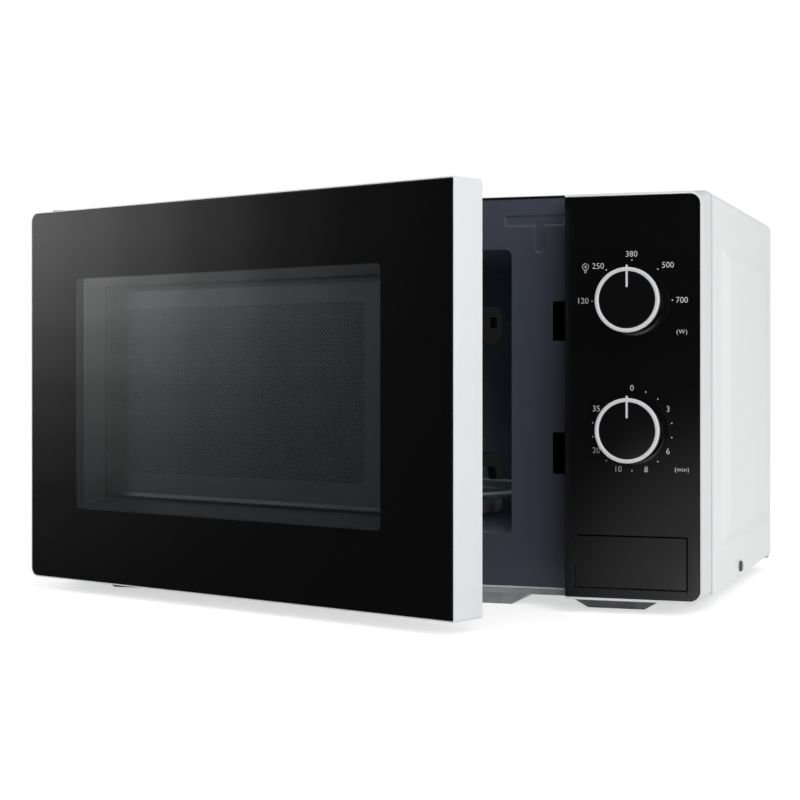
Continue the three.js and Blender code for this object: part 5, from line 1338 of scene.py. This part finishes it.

# %% [markdown]
# Beside the liner a flat matt black strip is painted shade for the fine groove there. Then comes a
# pressed bead, which stiffens the sheet and catches the light along its upper and left-hand runs.

# %% Bead and joint
def loop_strip(name, rings, finish):
    """A closed strip around the window: rings are (inset from the liner, depth)."""
    work = bmesh.new()
    loops = [
        [work.verts.new(place(x, y, z)) for x, z in liner_loop(1.0, -inset)]
        for inset, y in rings
    ]
    for low, high in zip(loops, loops[1:]):
        bridge(work, low, high)
    return smooth(make_piece(name, swing(closed_mesh(work, name)), "door", finish))


GROOVE_SHADE_WIDE = 1.3
BEAD_WIDE = 3.0
BEAD_RISE = 0.35
bead_top = SCREEN_DEPTH - BEAD_RISE
loop_strip("screen_groove_shade", [
    (-0.4, SCREEN_DEPTH - 0.06), (GROOVE_SHADE_WIDE, SCREEN_DEPTH - 0.06),
    (GROOVE_SHADE_WIDE, SCREEN_DEPTH - 0.02), (-0.4, SCREEN_DEPTH - 0.02),
    (-0.4, SCREEN_DEPTH - 0.06)], matt_edge_and_groove_shade)
loop_strip("screen_bead", [
    (GROOVE_SHADE_WIDE, SCREEN_DEPTH - 0.02), (GROOVE_SHADE_WIDE + 0.25, bead_top + 0.2),
    (GROOVE_SHADE_WIDE + 0.7, bead_top), (GROOVE_SHADE_WIDE + 1.3, bead_top + 0.12),
    (GROOVE_SHADE_WIDE + BEAD_WIDE, SCREEN_DEPTH - 0.02)], screen_coat)
print("bead of", BEAD_RISE, "mm")

# %% [markdown]
# The rest of the screen's part is the door pan, a steel tray whose slotted edge is folded forwards
# to choke stray energy. It gets an opening where the perforated sheet now stands.

# %% Door pan
door_pan = soften("screen_plate", screen_coat, 0.15)
door_pan.modifiers.clear()
PAN_CUT = (18.0, 25.5)


def opening_outline(inset):
    return [rounded_outline(*BORDER, (1.0,) * 4, inset)]


pan_cutter = bpy.data.objects.new(
    "pan_cutter", swing(plate_mesh("pan_cutter", opening_outline, *PAN_CUT, 0.01)))
bpy.context.scene.collection.objects.link(pan_cutter)
cut_away(door_pan, pan_cutter)
smooth(door_pan)
soften("window_film", polyester, 0)
print("door pan opened, film behind it")

# %% [markdown]
# ## Front frame
# A T is pressed into the frame's top corner, above the latch. Pressed steel has no crisp corners:
# each wall starts and ends in a small fillet, and the enamel over it draws thin bright and dark
# lines. The T is a fine grid whose depth follows the distance to the outline.

# %% Pressed T
FRAME_FACE = 29.4
PATCH = (93.6, 142.2, 221.4, 252.2)
PATCH_STEP = 0.24
TEE_ARM = (115.65, 245.05, 19.75, 3.55, 1.5)
TEE_STEM = (118.85, 234.5, 3.35, 10.2, 3.3)
TEE_JOINT = 1.6
TEE_DEPTH = 1.15
TEE_FILLET = 0.62
TEE_ARC = 0.716


def box_distance(x, z, middle_x, middle_z, half_x, half_z, corner):
    """Distance to a rounded rectangle, negative inside."""
    dx = abs(x - middle_x) - half_x + corner
    dz = abs(z - middle_z) - half_z + corner
    outside = math.hypot(max(dx, 0.0), max(dz, 0.0))
    return outside + min(max(dx, dz), 0.0) - corner


def tee_depth(x, z):
    """How deep the pressing is at a point: fillet, steep wall, fillet, flat floor."""
    arm = box_distance(x, z, *TEE_ARM)
    stem = box_distance(x, z, *TEE_STEM)
    mix = max(TEE_JOINT - abs(arm - stem), 0.0)
    inward = -min(arm, stem) + mix * mix / (4 * TEE_JOINT) + TEE_FILLET / 2
    rounding = TEE_ARC - math.sqrt(TEE_ARC ** 2 - TEE_FILLET ** 2)
    wall = (TEE_DEPTH - 2 * rounding) / (TEE_FILLET / math.sqrt(TEE_ARC ** 2 - TEE_FILLET ** 2))
    if inward <= 0:
        return 0.0
    if inward < TEE_FILLET:
        return TEE_ARC - math.sqrt(TEE_ARC ** 2 - inward ** 2)
    if inward < TEE_FILLET + wall:
        return rounding + (inward - TEE_FILLET) / wall * (TEE_DEPTH - 2 * rounding)
    left = 2 * TEE_FILLET + wall - inward
    if left > 0:
        return TEE_DEPTH - TEE_ARC + math.sqrt(TEE_ARC ** 2 - left ** 2)
    return TEE_DEPTH


STEP_X = 102.4
STEP_Z = 228.8


def tee_opening(inset):
    """The patch's L-shaped outline, which keeps clear of the oven's opening."""
    x0, x1, z0, z1 = PATCH
    low = 0.4 + inset
    return [[
        (STEP_X + low, z0 + low), (x1 - low, z0 + low), (x1 - low, z1 - low),
        (x0 + low, z1 - low), (x0 + low, STEP_Z + low), (STEP_X + low, STEP_Z + low),
    ]]


tee_cutter = bpy.data.objects.new(
    "tee_cutter", plate_mesh("tee_cutter", tee_opening, FRAME_FACE - 1, FRAME_FACE + 2.3, 0.01))
bpy.context.scene.collection.objects.link(tee_cutter)
face_plate.modifiers.clear()
cut_away(face_plate, tee_cutter)
smooth(face_plate)
tee_columns = round((PATCH[1] - PATCH[0]) / PATCH_STEP)
tee_rows = round((PATCH[3] - PATCH[2]) / PATCH_STEP)
tee_verts = []
tee_faces = []
for j in range(tee_rows + 1):
    z = PATCH[2] + (PATCH[3] - PATCH[2]) * j / tee_rows
    for i in range(tee_columns + 1):
        x = PATCH[0] + (PATCH[1] - PATCH[0]) * i / tee_columns
        tee_verts.append(place(x, FRAME_FACE - 0.02 + tee_depth(x, z), z))
for j in range(tee_rows):
    for i in range(tee_columns):
        left = PATCH[0] + (i + 0.5) * (PATCH[1] - PATCH[0]) / tee_columns
        height = PATCH[2] + (j + 0.5) * (PATCH[3] - PATCH[2]) / tee_rows
        if left < STEP_X and height < STEP_Z:
            continue
        corner = j * (tee_columns + 1) + i
        tee_faces.append((corner, corner + 1, corner + tee_columns + 2, corner + tee_columns + 1))
tee_mesh = bpy.data.meshes.new("pressed_tee")
tee_mesh.from_pydata([tuple(v) for v in tee_verts], [], tee_faces)
pressed_tee = make_piece("pressed_tee", tee_mesh, "case", face_enamel)
smooth(pressed_tee, math.radians(80))
print("pressed T of", len(tee_faces), "faces")

# %% [markdown]
# Two narrow strips finish the frame. A black strip is painted shade for the gap under the wrap, and
# the base sheet's rolled edge runs below the enamel in near-white zinc, which is a painted
# highlight.

# %% Frame strips
WRAP_GAP_SHADE = (-206.0, 142.3, 258.9, 260.4)
ROLLED_EDGE = (-206.0, 142.2, 10.95, 12.15)


def wrap_gap_shade_outline(inset):
    return [rounded_outline(*WRAP_GAP_SHADE, (0.3,) * 4, inset)]


def rolled_outline(inset):
    return [rounded_outline(*ROLLED_EDGE, (0.4,) * 4, inset)]


# A black strip of painted shade where the gap under the wrap lies in shadow.
wrap_gap_shade_strip = make_piece(
    "wrap_gap_shade_strip", plate_mesh("wrap_gap_shade_strip", wrap_gap_shade_outline, 29.1, 29.38, 0.12), "case", black_abs)
smooth(wrap_gap_shade_strip)
# The rolled edge is real; its near-white colour is a painted highlight.
rolled_edge = make_piece(
    "rolled_base_edge", plate_mesh("rolled_edge", rolled_outline, 29.7, 30.48, 0.36), "case",
    zinc_edge_highlight)
smooth(rolled_edge)
print("frame strips added")

# %% [markdown]
# ## Turntable
# The tray is pressed glass: a flat dish with a turned-up rim. Its section is spun about the drive,
# fine enough for the rim's highlight to run clean. The rim and the foot ring are fire-polished.
# Their near-white finish and faint glow are painted highlight: they stand for the light that the
# polished edges turn sharply, and for light that has run inside the glass and comes out at its
# edges.

# %% Glass tray
tray_low, tray_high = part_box("glass_tray")
TRAY_MIDDLE = (tray_low + tray_high) / 2
TRAY_BOTTOM = 58.4
TRAY_RADIUS = 122.5
tray_profile = [
    (0, 0), (96.0, 0), (99, 0.15), (112.0, 2.3), (119.5, 5.0), (121.7, 6.2), (122.5, 7.2),
    (122.3, 7.8), (121.6, 8.0), (120.6, 7.7), (119.4, 7.0), (110.8, 5.7), (99.5, 4.15),
    (96.5, 4.0), (52.4, 4.0), (52.0, 3.7), (51.6, 4.0), (0, 4.0),
]


DISH_STEPS = 144


def round_drive(radius, z, angle):
    """A point of the tray at a radius from the drive's middle and a height above its underside."""
    return Vector((
        TRAY_MIDDLE.x + radius * MM * math.cos(angle),
        TRAY_MIDDLE.y + radius * MM * math.sin(angle),
        (TRAY_BOTTOM + z) * MM))


dish_mesh = spun_mesh("glass_dish", tray_profile, DISH_STEPS, round_drive)
tray = make_piece("glass_dish", dish_mesh, "tray", tray_glass, rim_glow_highlight)
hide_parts("glass_tray")
RIM_FROM = 121.2
FOOT_RING = (98.0, 99.5)
# Faces of the rim and the foot ring take the painted highlight and glow.
for polygon in tray.data.polygons:
    radius = (polygon.center - TRAY_MIDDLE).xy.length / MM
    low_edge = FOOT_RING[0] < radius < FOOT_RING[1] and polygon.center.z < (TRAY_BOTTOM + 1) * MM
    polygon.material_index = 1 if radius > RIM_FROM or low_edge else 0
smooth(tray)
print("tray of", 2 * TRAY_RADIUS, "mm")

# %% [markdown]
# ## Screws
# The cabinet is held by one screw on each side. The frame carries the right-hand one; the left-hand
# one is trim. Each is a blackened pan head; a bright disc in its middle is a painted highlight.

# %% Left-hand screw
left_screw_mesh = soft_mesh("side_screw", 0.2)
left_screw_mesh.transform(
    Matrix.Translation((2 * CASE_MIDDLE, 0, 0)) @ Matrix.Scale(-1, 4, (1, 0, 0)))
left_screw_mesh.flip_normals()
left_screw = make_piece("left_side_screw", left_screw_mesh, "case", black_zinc)
smooth(left_screw)

screw_low, screw_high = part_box("side_screw")
HIGHLIGHT_RADIUS = 1.7


def painted_highlight_mesh(side):
    """A slightly domed disc of painted highlight on the screw's head; side is +1 on the right and
    -1 on the left.
    """
    middle = (screw_low + screw_high) / 2
    face = (screw_high.x - CASE_MIDDLE) * side
    work = bmesh.new()
    rings = []
    for radius, sink in ((HIGHLIGHT_RADIUS, 0.12), (HIGHLIGHT_RADIUS * 0.9, 0.03), (HIGHLIGHT_RADIUS * 0.5, 0.01)):
        rings.append([
            work.verts.new(Vector((
                CASE_MIDDLE + face - side * sink * MM,
                middle.y + radius * MM * math.cos(math.tau * i / 24),
                middle.z + radius * MM * math.sin(math.tau * i / 24))))
            for i in range(24)
        ])
    for low, high in zip(rings, rings[1:]):
        bridge(work, low, high)
    work.faces.new(rings[-1])
    return closed_mesh(work, "screw_highlight_disc")


for side, word in ((1, "right"), (-1, "left")):
    highlight_piece = make_piece(word + "_screw_painted_highlight", painted_highlight_mesh(side), "case", plated_steel)
    smooth(highlight_piece)
print("left screw added")

# %% [markdown]
# ## Studio
# A plain pale floor and an even white surround light the oven softly, with one large lamp from the
# front right so that edges read. Glossy black needs something dark to mirror: a studio would stand
# black cloth round the camera. The card below does that. Only reflections see it, and it glows
# softly at the left and low at the right, like the edges of two softboxes.

# %% Floor and surround
floor_mesh = bpy.data.meshes.new("floor")
floor_mesh.from_pydata([(-6, -6, 0), (6, -6, 0), (6, 6, 0), (-6, 6, 0)], [], [(0, 1, 2, 3)])
floor = bpy.data.objects.new("floor", floor_mesh)
bpy.context.scene.collection.objects.link(floor)
FLOOR_LIFT = 0.55
floor_paper = start_material("white_paper", "stage")
paper = add(floor_paper, "ShaderNodeBsdfDiffuse", {"Color": tone("#f4f4f4")}).outputs["BSDF"]
seen = add(floor_paper, "ShaderNodeLightPath").outputs["Is Camera Ray"]
lift = add(floor_paper, "ShaderNodeMath", {0: seen, 1: FLOOR_LIFT}, operation="MULTIPLY")
glow = add(floor_paper, "ShaderNodeEmission", {"Strength": lift.outputs["Value"]})
both = add(
    floor_paper, "ShaderNodeAddShader", {0: paper, 1: glow.outputs["Emission"]}).outputs["Shader"]
surface(floor_paper, both)
floor_mesh.materials.append(floor_paper)
floor.visible_glossy = False

SURROUND = 0.5
world = bpy.data.worlds.new("white_surround")
bpy.context.scene.world = world
world.use_nodes = True
world.node_tree.nodes.clear()
rays = add(world, "ShaderNodeLightPath").outputs
either = add(
    world, "ShaderNodeMath", {0: rays["Is Camera Ray"], 1: rays["Is Glossy Ray"]},
    operation="MAXIMUM").outputs["Value"]
any_seen = add(
    world, "ShaderNodeMath", {0: either, 1: rays["Is Transmission Ray"]},
    operation="MAXIMUM").outputs["Value"]
strength = add(
    world, "ShaderNodeMapRange", {"Value": any_seen, "To Min": SURROUND, "To Max": 1.0})
sky = add(
    world, "ShaderNodeBackground",
    {"Color": tone("#ffffff"), "Strength": strength.outputs["Result"]})
add(world, "ShaderNodeOutputWorld", {"Surface": sky.outputs["Background"]})
print("surround strength", SURROUND)

# %% Lamp
KEY_WATTS = 36.5
key_data = bpy.data.lights.new("key", "AREA")
key_data.shape = "RECTANGLE"
key_data.size = 1.8
key_data.size_y = 1.4
key_data.energy = KEY_WATTS
key = bpy.data.objects.new("key", key_data)
key.location = (1.5, -1.9, 1.2)
key.rotation_euler = (Vector((0.1, 0, 0.13)) - key.location).to_track_quat("-Z", "Y").to_euler()
key.visible_camera = False
key.visible_glossy = False
bpy.context.scene.collection.objects.link(key)
print("key lamp", KEY_WATTS, "W")

# %% Reflection card
CARD_RADIUS = 2.5
CARD_FROM = -178
CARD_TO = -62
CARD_STEPS = 40
CARD_LOW = -6.0
CARD_HIGH = 2.4


def bent_card(name, turn_from, turn_to, steps, low, high):
    """An upright card bent round the stage, which only reflections see."""
    verts = []
    for step in range(steps + 1):
        angle = math.radians(turn_from + (turn_to - turn_from) * step / steps)
        for z in (low, high):
            verts.append((CARD_RADIUS * math.cos(angle), CARD_RADIUS * math.sin(angle), z))
    faces = [(2 * i, 2 * i + 2, 2 * i + 3, 2 * i + 1) for i in range(steps)]
    mesh = bpy.data.meshes.new(name)
    mesh.from_pydata(verts, [], faces)
    made = bpy.data.objects.new(name, mesh)
    bpy.context.scene.collection.objects.link(made)
    for ray_kind in ("camera", "diffuse", "transmission", "volume_scatter", "shadow"):
        setattr(made, "visible_" + ray_kind, False)
    return made


card = bent_card("card", CARD_FROM, CARD_TO, CARD_STEPS, CARD_LOW, CARD_HIGH)
DARK_LEVEL = 0.05
LEFT_LEVEL = 1.75
LOW_SPOT_LEVEL = 1.7
card_cloth = start_material("lit_card", "stage")
card_place = add(card_cloth, "ShaderNodeTexCoord").outputs["Object"]
parts = add(card_cloth, "ShaderNodeSeparateXYZ", {"Vector": card_place}).outputs
bearing = add(
    card_cloth, "ShaderNodeMath", {0: parts["Y"], 1: parts["X"]}, operation="ARCTAN2"
).outputs["Value"]


def ramp(value, low, high, stops):
    """A smooth curve through (position, grey) stops of a value between low and high."""
    share = add(
        card_cloth, "ShaderNodeMapRange", {"Value": value, "From Min": low, "From Max": high}
    ).outputs["Result"]
    node = add(card_cloth, "ShaderNodeValToRGB", {"Fac": share})
    node.color_ramp.interpolation = "EASE"
    elements = node.color_ramp.elements
    elements[0].position, elements[1].position = stops[0][0], stops[-1][0]
    for position, _ in stops[1:-1]:
        elements.new(position)
    for element, (_, grey) in zip(elements, stops):
        element.color = (grey, grey, grey, 1)
    return node.outputs["Color"]


LEFT_EDGE = math.radians(-166)
LEFT_END = math.radians(-142)
across = ramp(
    bearing, LEFT_EDGE, LEFT_END,
    [(0.0, 1.0), (0.18, 1.0), (0.28, 0.82), (0.38, 0.56), (0.5, 0.3), (0.64, 0.1), (0.78, 0.03),
     (1.0, 0.0)])
upright = ramp(
    parts["Z"], -0.3, 0.5,
    [(0.0, 0.02), (0.26, 0.06), (0.37, 0.13), (0.5, 0.23), (0.62, 0.41), (0.74, 0.65),
     (0.83, 0.84), (0.92, 1.0), (1.0, 1.0)])
left_glow = add(card_cloth, "ShaderNodeMath", {0: across, 1: upright}, operation="MULTIPLY")
spot_angle = math.radians(-91)
spot_place = (CARD_RADIUS * math.cos(spot_angle), CARD_RADIUS * math.sin(spot_angle), -0.36)
reach = add(
    card_cloth, "ShaderNodeVectorMath", {0: card_place, 1: spot_place}, operation="DISTANCE"
).outputs["Value"]
low_glow = ramp(reach, 0.0, 0.5, [(0.0, 1.0), (0.2, 0.8), (0.5, 0.3), (1.0, 0.0)])
left_part = add(
    card_cloth, "ShaderNodeMath", {0: left_glow.outputs["Value"], 1: LEFT_LEVEL},
    operation="MULTIPLY").outputs["Value"]
low_part = add(
    card_cloth, "ShaderNodeMath", {0: low_glow, 1: LOW_SPOT_LEVEL}, operation="MULTIPLY"
).outputs["Value"]
glows = add(card_cloth, "ShaderNodeMath", {0: left_part, 1: low_part}, operation="ADD")
level = add(
    card_cloth, "ShaderNodeMath", {0: glows.outputs["Value"], 1: DARK_LEVEL}, operation="ADD")
card_light = add(card_cloth, "ShaderNodeEmission", {"Strength": level.outputs["Value"]})
surface(card_cloth, card_light.outputs["Emission"])
card.data.materials.append(card_cloth)
print("card from", CARD_FROM, "to", CARD_TO, "degrees")

# %% [markdown]
# A second, paler grey card stands behind the oven on the right. The flat of the side mirrors it
# at a low angle, and the pressing's slope mirrors the white beside it, so the pressing shows.

# %% Grey card
GREY_FROM = 75
GREY_TO = 125
GREY_STEPS = 12
GREY_HIGH = 0.4
GREY_LOW = 0.85
GREY_REACH = 2.4
grey_card = bent_card("grey_card", GREY_FROM, GREY_TO, GREY_STEPS, -GREY_REACH, GREY_REACH)
grey_cloth = start_material("grey_card_cloth", "stage")
grey_place = add(grey_cloth, "ShaderNodeTexCoord").outputs["Object"]
grey_height = add(grey_cloth, "ShaderNodeSeparateXYZ", {"Vector": grey_place}).outputs["Z"]
grey_level = add(
    grey_cloth, "ShaderNodeMapRange",
    {"Value": grey_height, "From Min": -0.3, "From Max": 0.5, "To Min": GREY_LOW,
     "To Max": GREY_HIGH})
grey_light = add(grey_cloth, "ShaderNodeEmission", {"Strength": grey_level.outputs["Result"]})
surface(grey_cloth, grey_light.outputs["Emission"])
grey_card.data.materials.append(grey_cloth)
print("grey card from", GREY_FROM, "to", GREY_TO, "degrees")

# %% [markdown]
# ## End

# %% Finish
print("scene finished")
